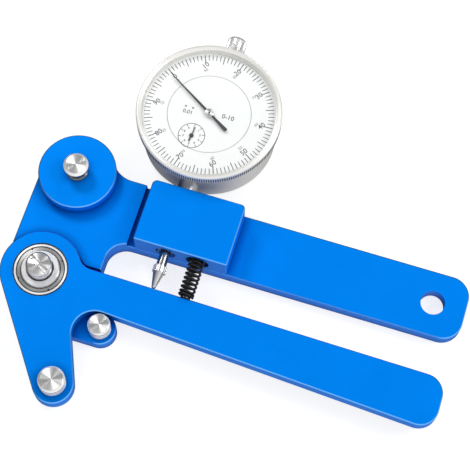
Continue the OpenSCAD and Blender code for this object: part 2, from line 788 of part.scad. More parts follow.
module lift_cap() {
    flutes = 28;
    b = 0.6;
    color(steel) translate([spindle_x, cap_y + 0.05, spindle_z]) rotate([-90, 0, 0]) difference() {
        rotate_extrude()
            polygon([[stub_d / 2 + press, 0], [cap_d / 2 - b, 0],
                     [cap_d / 2, b], [cap_d / 2, cap_l - b],
                     [cap_d / 2 - b, cap_l], [0, cap_l],
                     [0, cap_l - 1.4], [stub_d / 2 + press, cap_l - 1.4]]);
        for (i = [0 : flutes - 1]) rotate([0, 0, i * 360 / flutes])
            translate([cap_d / 2 + 0.15, 0, 1.2]) cylinder(r = 0.35, h = cap_l - 2.4);
    }
}

/* Movement: rack, pinion, wheel, centre pinion and take-up wheel between two plates */
wheel_module = 2 * norm([counter_dx, counter_dy]) / (wheel_teeth + pinion_teeth);
mesh_angle = atan2(counter_dy, counter_dx);

// Straight-sided teeth on a disc, with the middle of one tooth at the angle phase
module gear(teeth, size, thickness, phase) {
    pitch_r = size * teeth / 2;
    tip_r = pitch_r + addendum * size;
    foot_circle_r = pitch_r - dedendum * size;
    half = 90 / teeth * tooth_fill;
    deg = 180 / PI * tan(20);
    tip_half = half - deg * addendum * size / tip_r;
    foot_half = half + deg * dedendum * size / foot_circle_r;
    linear_extrude(thickness) polygon([for (i = [0 : teeth - 1])
        let (a = phase + i * 360 / teeth)
        each [[foot_circle_r * cos(a - foot_half), foot_circle_r * sin(a - foot_half)],
              [tip_r * cos(a - tip_half), tip_r * sin(a - tip_half)],
              [tip_r * cos(a + tip_half), tip_r * sin(a + tip_half)],
              [foot_circle_r * cos(a + foot_half), foot_circle_r * sin(a + foot_half)]]]);
}

module pillars() {
    color(brass) for (x = pillar_xs) for (y = pillar_ys) at_dial() translate([x, y, 0]) {
        translate([0, 0, floor_top]) ring(pillar_d / 2, pillar_bore_d / 2 + press, middle_z - floor_top);
        translate([0, 0, middle_z + plate_sheet])
            ring(pillar_d / 2, pillar_bore_d / 2 + press, front_plate_z - middle_z - plate_sheet);
    }
}

// Brass plate with the arbors' holes; the counter arbor passes it with room to spare
module movement_plate(z) {
    difference() {
        at_dial(z) intersection() {
            cylinder(r = case_inner_r - 1, h = plate_sheet);
            translate([-30, -14, -1]) cube([60, 29, 3]);
        }
        at_dial(z - 1) {
            cylinder(r = arbor_d / 2 + running, h = 3);
            translate([-counter_dx, -counter_dy, 0]) cylinder(r = arbor_d / 2 + running, h = 3);
            translate([counter_dx, counter_dy, 0]) cylinder(r = arbor_d / 2 + running, h = 3);
            for (x = pillar_xs) for (y = pillar_ys)
                translate([x, y, 0]) cylinder(r = pillar_bore_d / 2 + press, h = 3);
        }
    }
}

module middle_plate() {
    color(brass) movement_plate(middle_z);
}

module front_plate() {
    color(brass) movement_plate(front_plate_z);
}

module plate_screws() {
    top = front_plate_z + plate_sheet;
    color(steel) for (x = pillar_xs) for (y = pillar_ys) at_dial() translate([x, y, 0]) difference() {
        union() {
            translate([0, 0, floor_z + 0.2]) cylinder(d = pillar_bore_d, h = top - floor_z);
            translate([0, 0, top]) cylinder(d = 2.8, h = 0.8);
        }
        translate([-2, -0.2, top + 0.4]) cube([4, 0.4, 2]);
    }
}

counter_hand_z = face_z + 0.25;
main_hand_z = face_z + 0.85;
hand_t = 0.2;
rack_pinion_t = 2.4;

module counter_arbor() {
    color(steel) at_dial() translate([-counter_dx, -counter_dy, 0]) {
        translate([0, 0, floor_z + 0.2]) cylinder(d = arbor_d, h = counter_hand_z - floor_z - 0.2);
        translate([0, 0, spindle_z - rack_pinion_t / 2])
            gear(rack_pinion_teeth, rack_module, rack_pinion_t, 0);
    }
}

module counter_wheel() {
    color(brass) at_dial(wheel_z) translate([-counter_dx, -counter_dy, 0]) difference() {
        gear(wheel_teeth, wheel_module, wheel_t, mesh_angle);
        translate([0, 0, -1]) cylinder(r = arbor_d / 2 + press, h = 3);
        for (i = [0 : 3]) rotate([0, 0, 45 + 90 * i])
            translate([wheel_module * wheel_teeth / 4, 0, -1]) cylinder(d = 5, h = 3);
    }
}

module counter_pointer() {
    color(dark) at_dial(counter_hand_z) translate([-counter_dx, -counter_dy, 0]) rotate([0, 0, 83.6]) {
        cylinder(r = 0.8, h = hand_t + 0.1);
        linear_extrude(hand_t)
            polygon([[-2.6, -0.3], [3.8, -0.12], [3.8, 0.12], [-2.6, 0.3]]);
    }
}

module centre_pinion() {
    color(steel) at_dial() {
        translate([0, 0, middle_z]) cylinder(d = arbor_d, h = main_hand_z - middle_z);
        translate([0, 0, wheel_z - 0.5]) gear(pinion_teeth, wheel_module, wheel_t + 1, mesh_angle + 18);
    }
}

pointer_angle = 148.4;
module main_pointer() {
    tip_len = 23.6;
    tail_len = 10.2;
    color(dark) at_dial(main_hand_z) rotate([0, 0, pointer_angle]) {
        rotate_extrude() polygon([[0, 0], [1.2, 0], [1.75, 0.15], [1.75, 0.35], [1.4, 0.45], [0, 0.45]]);
        linear_extrude(hand_t) {
            polygon([[0, 0.55], [tip_len - 4, 0.25], [tip_len, 0.06], [tip_len, -0.06], [tip_len - 4, -0.25],
                     [0, -0.55]]);
            polygon([[0, -0.45], [0, 0.45], [0.4 - tail_len, 0.75], [-tail_len, 0.5], [-tail_len, -0.5],
                     [0.4 - tail_len, -0.75]]);
        }
    }
}

module take_up_arbor() {
    color(steel) at_dial() translate([counter_dx, counter_dy, middle_z])
        cylinder(d = arbor_d, h = front_plate_z + plate_sheet - middle_z);
}

module take_up_wheel() {
    color(brass) at_dial(wheel_z) translate([counter_dx, counter_dy, 0]) difference() {
        gear(wheel_teeth, wheel_module, wheel_t, mesh_angle + 180);
        translate([0, 0, -1]) cylinder(r = arbor_d / 2 + press, h = 3);
        for (i = [0 : 3]) rotate([0, 0, 45 + 90 * i])
            translate([wheel_module * wheel_teeth / 4, 0, -1]) cylinder(d = 5, h = 3);
    }
}

// Flat spiral that loads the take-up wheel; its outer end is held by a stud on the front plate
module hairspring() {
    turns = 5;
    strip = 0.15;
    steps = 12;
    r0 = arbor_d / 2 + 0.5;
    grow = 0.9;
    spiral = [for (i = [0 : turns * steps]) let (a = i * 360 / steps) [r0 + grow * a / 360, a]];
    outer = [for (p = spiral) [(p[0] + strip / 2) * cos(p[1]), (p[0] + strip / 2) * sin(p[1])]];
    inner = [for (i = [turns * steps : -1 : 0]) let (p = spiral[i])
                [(p[0] - strip / 2) * cos(p[1]), (p[0] - strip / 2) * sin(p[1])]];
    color(dark) at_dial(wheel_z + wheel_t + 0.4) translate([counter_dx, counter_dy, 0]) {
        linear_extrude(0.6) polygon(concat(outer, inner));
        translate([r0 + grow * turns + 0.3, 0, 0])
            cylinder(d = 0.8, h = front_plate_z - wheel_z - wheel_t - 0.4);
    }
}

/* Face, bezel and crystal */
face_t = 0.4;
ring_r = spigot_r + 0.55;
crystal_z = bezel_front - 1.4;
crystal_t = 0.7;
crystal_r = ring_r + 0.5;

module inner_face() {
    r = inner_face_d / 2 - 0.05;
    color(paper) difference() {
        union() {
            at_dial(face_z - face_t) cylinder(r = r, h = face_t);
            for (i = [0 : 2]) at_dial(front_plate_z + plate_sheet) rotate([0, 0, 30 + 120 * i])
                translate([12, 0, 0]) cylinder(d = 1.6, h = face_z - front_plate_z - plate_sheet - 0.1);
        }
        at_dial(face_z - 2) {
            cylinder(d = 2.4, h = 4);
            translate([-counter_dx, -counter_dy, 0]) cylinder(d = 1.8, h = 4);
        }
    }
}

module scale_ring() {
    color(paper) at_dial(face_z - face_t) ring(ring_r - press, inner_face_d / 2 + 0.05, face_t);
}

module dial_bezel() {
    r = bezel_d / 2;
    back = case_front + 0.15;
    ledge = face_z - face_t;
    groove = spigot_r + 0.4;
    color(satin) at_dial() rotate_extrude()
        polygon([[spigot_r + running, back], [r - 0.4, back], [r, back + 0.4], [r, bezel_front - 0.4],
                 [r - 0.3, bezel_front], [r - 0.8, bezel_front], [crystal_r, crystal_z + crystal_t],
                 [crystal_r, crystal_z], [ring_r, crystal_z], [ring_r, ledge], [spigot_r + running, ledge],
                 [spigot_r + running, snap_z + 0.55], [groove, snap_z + 0.55], [groove, snap_z - 0.05],
                 [spigot_r + running, snap_z - 0.05]]);
}

module bezel_snap_ring() {
    color(steel) at_dial(snap_z + 0.05) difference() {
        ring(spigot_r + 0.32, spigot_r - 0.42, 0.4);
        translate([0, -1, -1]) cube([40, 2, 3]);
    }
}

module crystal() {
    color([0.8, 0.9, 1, 0.35]) at_dial(crystal_z) cylinder(r = crystal_r - press, h = crystal_t);
}

frame_plate();
gauge_block();
block_screws();
stem_grub_screw();
anvil_disc();
disc_post();
stop_post();
frame_post_screws();
pivot_stud();
pivot_spacer();
bearing_inner_ring();
bearing_cage();
bearing_balls();
bearing_outer_ring();
bearing_shields();
lever();
foot_post();
foot_post_screw();
spring_pin();
compression_spring();
dial_case();
back_cover();
back_cover_screws();
dial_stem();
stem_bush();
case_top_bush();
spindle();
spindle_rack();
contact_point();
lift_cap();
pillars();
middle_plate();
front_plate();
plate_screws();
counter_arbor();
counter_wheel();
counter_pointer();
centre_pinion();
main_pointer();
take_up_arbor();
take_up_wheel();
hairspring();
inner_face();
scale_ring();
dial_bezel();
bezel_snap_ring();
crystal();
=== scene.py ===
"""Looks of a spoke tension meter: a blue frame and lever, three turned posts and a dial gauge.

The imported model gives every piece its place. This script adds finishes to the model's own
pieces, and swaps the ones that show most for finer copies of the same size. Sizes are in
millimetres inside the classes and become metres when a piece is placed.
"""

import json
import logging
import math
from abc import ABC, abstractmethod
from dataclasses import dataclass
from enum import Enum
from typing import Sequence

import bmesh
import bpy
from mathutils import Matrix, Vector

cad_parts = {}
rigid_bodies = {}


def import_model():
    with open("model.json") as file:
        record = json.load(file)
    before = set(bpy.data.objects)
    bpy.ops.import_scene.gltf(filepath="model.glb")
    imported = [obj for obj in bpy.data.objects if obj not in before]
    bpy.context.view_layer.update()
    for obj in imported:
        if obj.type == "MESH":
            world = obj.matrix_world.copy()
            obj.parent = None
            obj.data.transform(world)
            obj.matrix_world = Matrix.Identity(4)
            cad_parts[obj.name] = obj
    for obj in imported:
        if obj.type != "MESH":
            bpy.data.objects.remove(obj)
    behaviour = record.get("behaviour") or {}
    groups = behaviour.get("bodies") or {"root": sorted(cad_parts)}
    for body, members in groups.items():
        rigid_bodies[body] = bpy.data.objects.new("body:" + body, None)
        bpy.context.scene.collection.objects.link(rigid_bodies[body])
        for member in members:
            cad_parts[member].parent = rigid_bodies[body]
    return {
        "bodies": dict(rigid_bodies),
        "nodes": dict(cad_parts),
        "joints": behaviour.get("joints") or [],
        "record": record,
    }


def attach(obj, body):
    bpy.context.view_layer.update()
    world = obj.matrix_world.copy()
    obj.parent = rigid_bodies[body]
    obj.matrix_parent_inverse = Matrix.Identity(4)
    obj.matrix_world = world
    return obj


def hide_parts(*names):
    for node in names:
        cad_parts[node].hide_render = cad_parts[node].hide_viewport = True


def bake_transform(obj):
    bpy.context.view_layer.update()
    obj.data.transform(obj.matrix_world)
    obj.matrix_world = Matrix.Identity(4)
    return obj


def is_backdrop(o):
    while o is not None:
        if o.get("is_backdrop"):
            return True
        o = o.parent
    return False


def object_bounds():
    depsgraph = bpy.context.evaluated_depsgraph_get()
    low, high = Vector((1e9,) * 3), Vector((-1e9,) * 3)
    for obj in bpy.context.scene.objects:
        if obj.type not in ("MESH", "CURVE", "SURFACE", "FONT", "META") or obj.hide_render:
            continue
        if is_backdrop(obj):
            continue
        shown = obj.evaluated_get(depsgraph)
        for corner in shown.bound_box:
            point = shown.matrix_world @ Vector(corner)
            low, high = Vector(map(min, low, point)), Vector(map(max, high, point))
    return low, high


LOG = logging.getLogger("tension_meter")
MM = 0.001
Socket, Material, Object = bpy.types.NodeSocket, bpy.types.Material, bpy.types.Object
Profile = Sequence[tuple[float, float]]
Colour = tuple[float, float, float]
WHITE: Colour = (1.0, 1.0, 1.0)
DIGIT_SHARE = 0.72  # height of a digit as a share of the font's size
SHARP = 32.0  # degrees: flatter edges are shaded smooth and aren't rounded


class Body(str, Enum):
    """Bodies of the model that a piece can ride on."""

    FRAME = "frame"
    LEVER = "lever"
    BALLS = "ball_train"
    SPINDLE = "spindle"
    COUNTER = "counter"
    CENTRE = "centre"
    TAKE_UP = "take_up"
    BEZEL = "bezel"


class Slot(str, Enum):
    """Material slots of the record."""

    BLUE = "blue_anodised"
    TURNED = "turned_steel"
    GROUND = "ground_steel"
    SHIELD = "shield_steel"
    BLACK = "black_steel"
    SATIN = "satin_chrome"
    BRASS = "brass"
    PAPER = "dial_paper"
    INK = "hand_black"
    CLEAR = "clear_crystal"


class Axis(Enum):
    """Direction of a turned piece's own axis."""

    UP = (0.0, 0.0, 1.0)
    ALONG_SPINDLE = (0.0, 1.0, 0.0)


@dataclass(frozen=True)
class Place:
    """Where a turned piece stands: a point on its axis, and the axis.

    Args:
        x: Distance along the handles, in millimetres.
        y: Distance across the handles, in millimetres.
        z: Height above the back of the frame, in millimetres.
        axis: Direction of the piece's own +Z.
        turn: Turn about the axis, in degrees.
    """

    x: float
    y: float
    z: float = 0.0
    axis: Axis = Axis.UP
    turn: float = 0.0

    def matrix(self) -> Matrix:
        """Returns the transform from the piece's millimetres to the model's metres."""
        tilt = Matrix.Identity(4)
        if self.axis is Axis.ALONG_SPINDLE:
            tilt = Matrix.Rotation(math.radians(-90), 4, "X")
        spin = Matrix.Rotation(math.radians(self.turn), 4, "Z")
        return Matrix.Translation(self.metres()) @ tilt @ spin @ Matrix.Scale(MM, 4)

    def metres(self) -> Vector:
        """Returns the point in metres."""
        return Vector((self.x, self.y, self.z)) * MM


def linked(name: str, data: bpy.types.ID) -> Object:
    """Returns a new object in the scene, at the origin.

    Args:
        name: Name of the object.
        data: Its mesh, camera or light.
    """
    made = bpy.data.objects.new(name, data)
    bpy.context.scene.collection.objects.link(made)
    return made


# Finishes


class Graph:
    """A node tree under construction."""

    def __init__(self, tree: bpy.types.NodeTree) -> None:
        """Args:
            tree: The tree, which is emptied.
        """
        self.tree = tree
        tree.nodes.clear()

    def node(self, kind: str, inputs: dict | None = None, **settings: object) -> bpy.types.Node:
        """Adds a node.

        Args:
            kind: Blender's name of the node type, without its "ShaderNode".
            inputs: For inputs by name or number, the value to set or the socket to link.
            **settings: Properties of the node to set first.

        Returns:
            The new node.
        """
        made = self.tree.nodes.new(f"ShaderNode{kind}")
        for key, value in settings.items():
            setattr(made, key, value)
        for key, value in (inputs or {}).items():
            self.feed(made, key, value)
        return made

    def feed(self, node: bpy.types.Node, key: str | int, value: object) -> None:
        """Gives an input a constant or links it to a socket.

        Args:
            node: The node.
            key: The input's name or number.
            value: A constant or another node's socket.
        """
        if isinstance(value, Socket):
            self.tree.links.new(value, node.inputs[key])
        else:
            node.inputs[key].default_value = value

    def number(self, operation: str, first: object, second: object) -> Socket:
        """Returns the result of a sum on two numbers, each a constant or a socket."""
        return self.node("Math", {0: first, 1: second}, operation=operation).outputs[0]

    def vector(self, operation: str, first: object, second: Sequence[float] = (0, 0, 0)
               ) -> Socket:
        """Returns the result of a sum on two vectors, which is a number for a length or a product."""
        made = self.node("VectorMath", {0: first, 1: second}, operation=operation)
        return made.outputs["Value" if operation in ("LENGTH", "DOT_PRODUCT") else "Vector"]

    def spread(self, value: Socket, low: float, high: float,
               start: float = 0.3, end: float = 0.7, **settings: object) -> Socket:
        """Maps a value from one range onto another.

        Args:
            value: The socket to map.
            low: Result at the range's start.
            high: Result at the range's end.
            start: Start of the range, by default of a noise's usual one.
            end: End of the range.
            **settings: Properties of the node.

        Returns:
            The mapped value.
        """
        ends = {"Value": value, "From Min": start, "From Max": end, "To Min": low, "To Max": high}
        return self.node("MapRange", ends, **settings).outputs["Result"]


class Recipe(Graph):
    """A node material under construction, read in the object's own coordinates."""

    def __init__(self, name: str, colour: Colour, metallic: float, roughness: float) -> None:
        """Args:
            name: Name of the material.
            colour: Linear red, green and blue.
            metallic: Share of metal, from 0 to 1.
            roughness: Roughness, from 0 to 1.
        """
        self.material = bpy.data.materials.new(name)
        self.material.use_nodes = True
        super().__init__(self.material.node_tree)
        self.shader = self.node("BsdfPrincipled", {
            "Base Color": (*colour, 1.0), "Metallic": metallic, "Roughness": roughness})
        self.output = self.node("OutputMaterial", {"Surface": self.shader.outputs[0]})
        place = self.node("TexCoord")
        self.coords, self.normal = place.outputs["Object"], place.outputs["Normal"]

    def set(self, name: str, value: object) -> None:
        """Gives one of the shader's inputs a constant or a socket."""
        self.feed(self.shader, name, value)

    def noise(self, scale: float, detail: float = 3.0) -> Socket:
        """Adds a noise over the object.

        Args:
            scale: Cells per metre.
            detail: Octaves of the noise.

        Returns:
            The noise's value, about 0.5 on average.
        """
        return self.node("TexNoise", {"Vector": self.coords, "Scale": scale, "Detail": detail}).outputs["Fac"]

    def mix(self, share: Socket, first: object, second: object) -> Socket:
        """Mixes two colours, each a linear colour or a socket, and paints the shader with the result.

        Args:
            share: Share of the second colour.
            first: Colour at 0.
            second: Colour at 1.

        Returns:
            The mixed colour.
        """
        a, b = ((*c, 1.0) if isinstance(c, tuple) else c for c in (first, second))
        mixed = self.node("Mix", {"A": a, "B": b, "Factor": share}, data_type="RGBA").outputs["Result"]
        self.set("Base Color", mixed)
        return mixed

    def mottle(self, scale: float, first: Colour, second: Colour) -> Socket:
        """Returns a slightly uneven colour between two colours, and paints the shader with it."""
        return self.mix(self.spread(self.noise(scale), 0.0, 1.0), first, second)

    def surface(self, height: Socket, smooth: float, coarse: float,
                strength: float, depth: float) -> Material:
        """Adds the fine relief and its roughness.

        Args:
            height: Height of the relief.
            smooth: Roughness where it is low.
            coarse: Roughness where it is high.
            strength: Strength of the bump, from 0 to 1.
            depth: Depth of the relief, in metres.

        Returns:
            The finished material.
        """
        self.set("Roughness", self.spread(height, smooth, coarse))
        bump = self.node("Bump", {"Strength": strength, "Distance": depth, "Height": height})
        self.set("Normal", bump.outputs["Normal"])
        return self.material


@dataclass(frozen=True)
class Anodised:
    """Blasted and dyed aluminium with a soft sheen, bright cut edges and painted shade in its corners and
    gaps.

    Args:
        colour: The dye.
        deep: The dye where it took best.
        crevice: Painted shade: the deep navy mixed into the dye where ambient occlusion finds a closed
            corner.
        cut: The metal where an edge is cut through the dye.
        reach: How near a neighbour must be to bring painted shade, in metres.
    """

    name: str = "blue anodised aluminium"
    colour: Colour = (0.0, 0.225, 0.87)
    deep: Colour = (0.0, 0.21, 0.82)
    crevice: Colour = (0.0, 0.03, 0.22)
    cut: Colour = (0.14, 0.44, 0.95)
    reach: float = 0.004
    metallic: float = 0.3
    roughness: float = 0.36

    def make(self) -> Material:
        """Returns the material."""
        recipe = Recipe(self.name, self.colour, self.metallic, self.roughness)
        recipe.set("Specular IOR Level", 0.3)
        recipe.set("Specular Tint", (0.0, 0.4, 1.0, 1.0))
        dye = recipe.mottle(60.0, self.colour, self.deep)
        # Painted shade: ambient occlusion darkens the dye towards deep navy in corners, gaps and slots.
        gap = recipe.node("AmbientOcclusion", {"Distance": self.reach}, samples=12).outputs["AO"]
        dye = recipe.mix(recipe.number("POWER", gap, 1.6), self.crevice, dye)
        # A face that leans between flat and upright is a bevel: z² (1 - z²) of its normal is large there.
        z = recipe.node("SeparateXYZ", {0: recipe.normal}).outputs["Z"]
        flat = recipe.number("MULTIPLY", z, z)
        lean = recipe.number("MULTIPLY", flat, recipe.number("SUBTRACT", 1.0, flat))
        bevel = recipe.spread(lean, 0.0, 1.0, 0.1, 0.2)
        recipe.set("Metallic", recipe.spread(bevel, self.metallic, 1.0, 0.0, 1.0))
        recipe.mix(bevel, dye, self.cut)
        return recipe.surface(recipe.noise(7000.0, 2.0), self.roughness - 0.03, self.roughness + 0.04,
                              0.12, 0.00002)


@dataclass(frozen=True)
class Turned:
    """Lathe-turned metal: fine rings about an axis, and highlights that fan out from it.

    Args:
        place: A point on the axis.
        streak: Strength of the fans, from 0 to 1.
        rings_per_mm: Number of rings on a millimetre.
        relief: Strength of the rings' bump.
    """

    name: str
    place: Place
    colour: Colour = (0.76, 0.76, 0.765)
    roughness: float = 0.38
    streak: float = 0.95
    rings_per_mm: float = 9.0
    relief: float = 0.18
    metallic: float = 1.0

    def make(self) -> Material:
        """Returns the material."""
        recipe = Recipe(self.name, self.colour, self.metallic, self.roughness)
        recipe.set("Anisotropic", self.streak)
        recipe.set("Anisotropic Rotation", 0.25)
        axis = self.place.axis.value
        arm = recipe.vector("SUBTRACT", recipe.coords, self.place.metres())
        across = recipe.vector("CROSS_PRODUCT", arm, axis)
        recipe.set("Tangent", recipe.vector("NORMALIZE", across))
        depth = recipe.number("ADD", recipe.vector("LENGTH", across), recipe.vector("DOT_PRODUCT", arm, axis))
        rings = recipe.node("TexNoise", noise_dimensions="1D", inputs={
            "W": depth, "Scale": self.rings_per_mm / MM, "Detail": 2.0})
        return recipe.surface(rings.outputs["Fac"], self.roughness - 0.06, self.roughness + 0.08,
                              self.relief, 0.00001)


@dataclass(frozen=True)
class Satin:
    """Even metal with a fine grain, such as chromed or ground steel, brass or a silvered sheet.

    Args:
        shade: The other colour that it drifts to.
        swing: How far the roughness falls and rises.
        patches: Patches of the two colours on a metre.
        grain: Grains on a metre.
        detail: Octaves of the grain.
        relief: Strength of the grain's bump.
    """

    name: str
    colour: Colour
    shade: Colour
    roughness: float = 0.3
    metallic: float = 1.0
    swing: tuple[float, float] = (0.05, 0.07)
    patches: float = 90.0
    grain: float = 5000.0
    detail: float = 3.0
    relief: float = 0.1

    def make(self) -> Material:
        """Returns the material."""
        recipe = Recipe(self.name, self.colour, self.metallic, self.roughness)
        recipe.mottle(self.patches, self.colour, self.shade)
        return recipe.surface(recipe.noise(self.grain, self.detail), self.roughness - self.swing[0],
                              self.roughness + self.swing[1], self.relief, 0.00001)


@dataclass(frozen=True)
class Ink:
    """Printed or painted mark, with slightly uneven cover."""

    name: str
    colour: Colour
    thin: Colour
    roughness: float = 0.5

    def make(self) -> Material:
        """Returns the material."""
        recipe = Recipe(self.name, self.colour, 0.0, self.roughness)
        cover = recipe.noise(2500.0, 2.0)
        recipe.mix(recipe.spread(cover, 0.0, 1.0), self.colour, self.thin)
        recipe.set("Roughness", recipe.spread(cover, self.roughness - 0.08, self.roughness + 0.08))
        return recipe.material


@dataclass(frozen=True)
class ClearCrystal:
    """Clear flat crystal: mostly see-through, with a faint gloss."""

    name: str = "clear crystal"
    gloss: float = 0.035

    def make(self) -> Material:
        """Returns the material."""
        recipe = Recipe(self.name, WHITE, 0.0, 0.05)
        clear = recipe.node("BsdfTransparent", {"Color": (0.985, 0.99, 0.99, 1.0)})
        shine = recipe.node("BsdfGlossy", {
            "Color": (*WHITE, 1.0), "Roughness": recipe.spread(recipe.noise(400.0), 0.03, 0.09)})
        both = recipe.node("MixShader", {0: self.gloss, 1: clear.outputs[0], 2: shine.outputs[0]})
        recipe.feed(recipe.output, "Surface", both.outputs[0])
        recipe.tree.nodes.remove(recipe.shader)
        return recipe.material


@dataclass(frozen=True)
class StudioPaper:
    """Seamless white paper with a glow of its own, so that it stays white round the object."""

    name: str = "white studio paper"
    glow: float = 0.75

    def make(self) -> Material:
        """Returns the material."""
        recipe = Recipe(self.name, (0.35, 0.35, 0.35), 0.0, 0.9)
        recipe.set("Specular IOR Level", 0.1)
        recipe.set("Emission Color", (*WHITE, 1.0))
        recipe.set("Emission Strength", self.glow)
        recipe.mottle(3.0, (0.36,) * 3, (0.34,) * 3)
        return recipe.material


class Finishes:
    """Every finish of the object, each made once."""

    def __init__(self) -> None:
        self.made: dict[str, Material] = {}
        self.blue = self.keep(Anodised())
        self.steel = self.keep(Satin("ground steel", (0.62, 0.62, 0.63), (0.55, 0.55, 0.57), 0.26))
        # Black steel: the own colour of the screws, spring and hairspring, and painted shade on the bezel's
        # serrations and round the bearing.
        self.black = self.keep(Satin("black steel", (0.035, 0.035, 0.038), (0.02, 0.02, 0.022), 0.38, 0.85))
        # Near-white steel for skins that paint a highlight on the posts' bevels and on the stud's flange.
        self.polished = self.keep(Satin("polished bevel", (0.9, 0.9, 0.9), (0.85, 0.85, 0.85), 0.3, 0.45))
        # Steel darkened well below real steel, to paint the shade on the disc post's neck.
        self.drawn = self.keep(Satin("bright drawn steel", (0.17, 0.18, 0.19), (0.13, 0.14, 0.15), 0.16))
        # Dark steel: the spring pin's own colour, and painted shade in the band under each post's bevel and
        # on the stud.
        self.dark = self.keep(Satin("oiled_and_painted_shade steel", (0.1, 0.1, 0.105), (0.07, 0.07, 0.075), 0.34))
        self.brass = self.keep(Satin("brass", (0.72, 0.5, 0.2), (0.62, 0.42, 0.16), 0.28))
        self.paper = self.keep(Satin("silvered dial", (0.96, 0.96, 0.96), (0.93, 0.93, 0.93), 0.5, 0.15,
                                     (0.06, 0.06), 45.0, 9000.0, 2.0, 0.05))
        self.hand = self.keep(Ink("hand black", (0.035, 0.035, 0.04), (0.06, 0.06, 0.065), 0.35))
        self.print = self.keep(Ink("scale print", (0.05, 0.05, 0.053), (0.09, 0.09, 0.093)))
        self.faint = self.keep(Ink("faint print", (0.3, 0.3, 0.303), (0.38, 0.38, 0.383)))
        self.clear = self.keep(ClearCrystal())

    def keep(self, finish) -> Material:
        """Makes a finish once.

        Args:
            finish: Any finish of this script.

        Returns:
            Its material.
        """
        if finish.name not in self.made:
            self.made[finish.name] = finish.make()
        return self.made[finish.name]


# Workshop


def rounded(profile: Profile, radius: float) -> list[tuple[float, float]]:
    """Rounds the corners of an open profile.

    Args:
        profile: Points as (radius, height), in millimetres.
        radius: Radius of the rounding, in millimetres.

    Returns:
        The rounded profile. Its two ends stay where they are.
    """
    steps = 3
    straight, most = 87.0, 0.45  # half angle of a corner left as it is, and share of an edge taken
    done = [tuple(profile[0])]
    for i in range(1, len(profile) - 1):
        here = Vector(profile[i])
        back, ahead = Vector(profile[i - 1]) - here, Vector(profile[i + 1]) - here
        cosine = max(-1.0, min(1.0, back.normalized().dot(ahead.normalized())))
        half = math.acos(cosine) / 2
        if math.degrees(half) > straight:
            done.append(tuple(here))
            continue
        reach = min(radius / math.tan(half), most * back.length, most * ahead.length)
        start, end = here + back.normalized() * reach, here + ahead.normalized() * reach
        for k in range(steps + 1):
            t = k / steps
            point = start * (1 - t) ** 2 + here * 2 * t * (1 - t) + end * t**2
            done.append(tuple(point))
    done.append(tuple(profile[-1]))
    return done


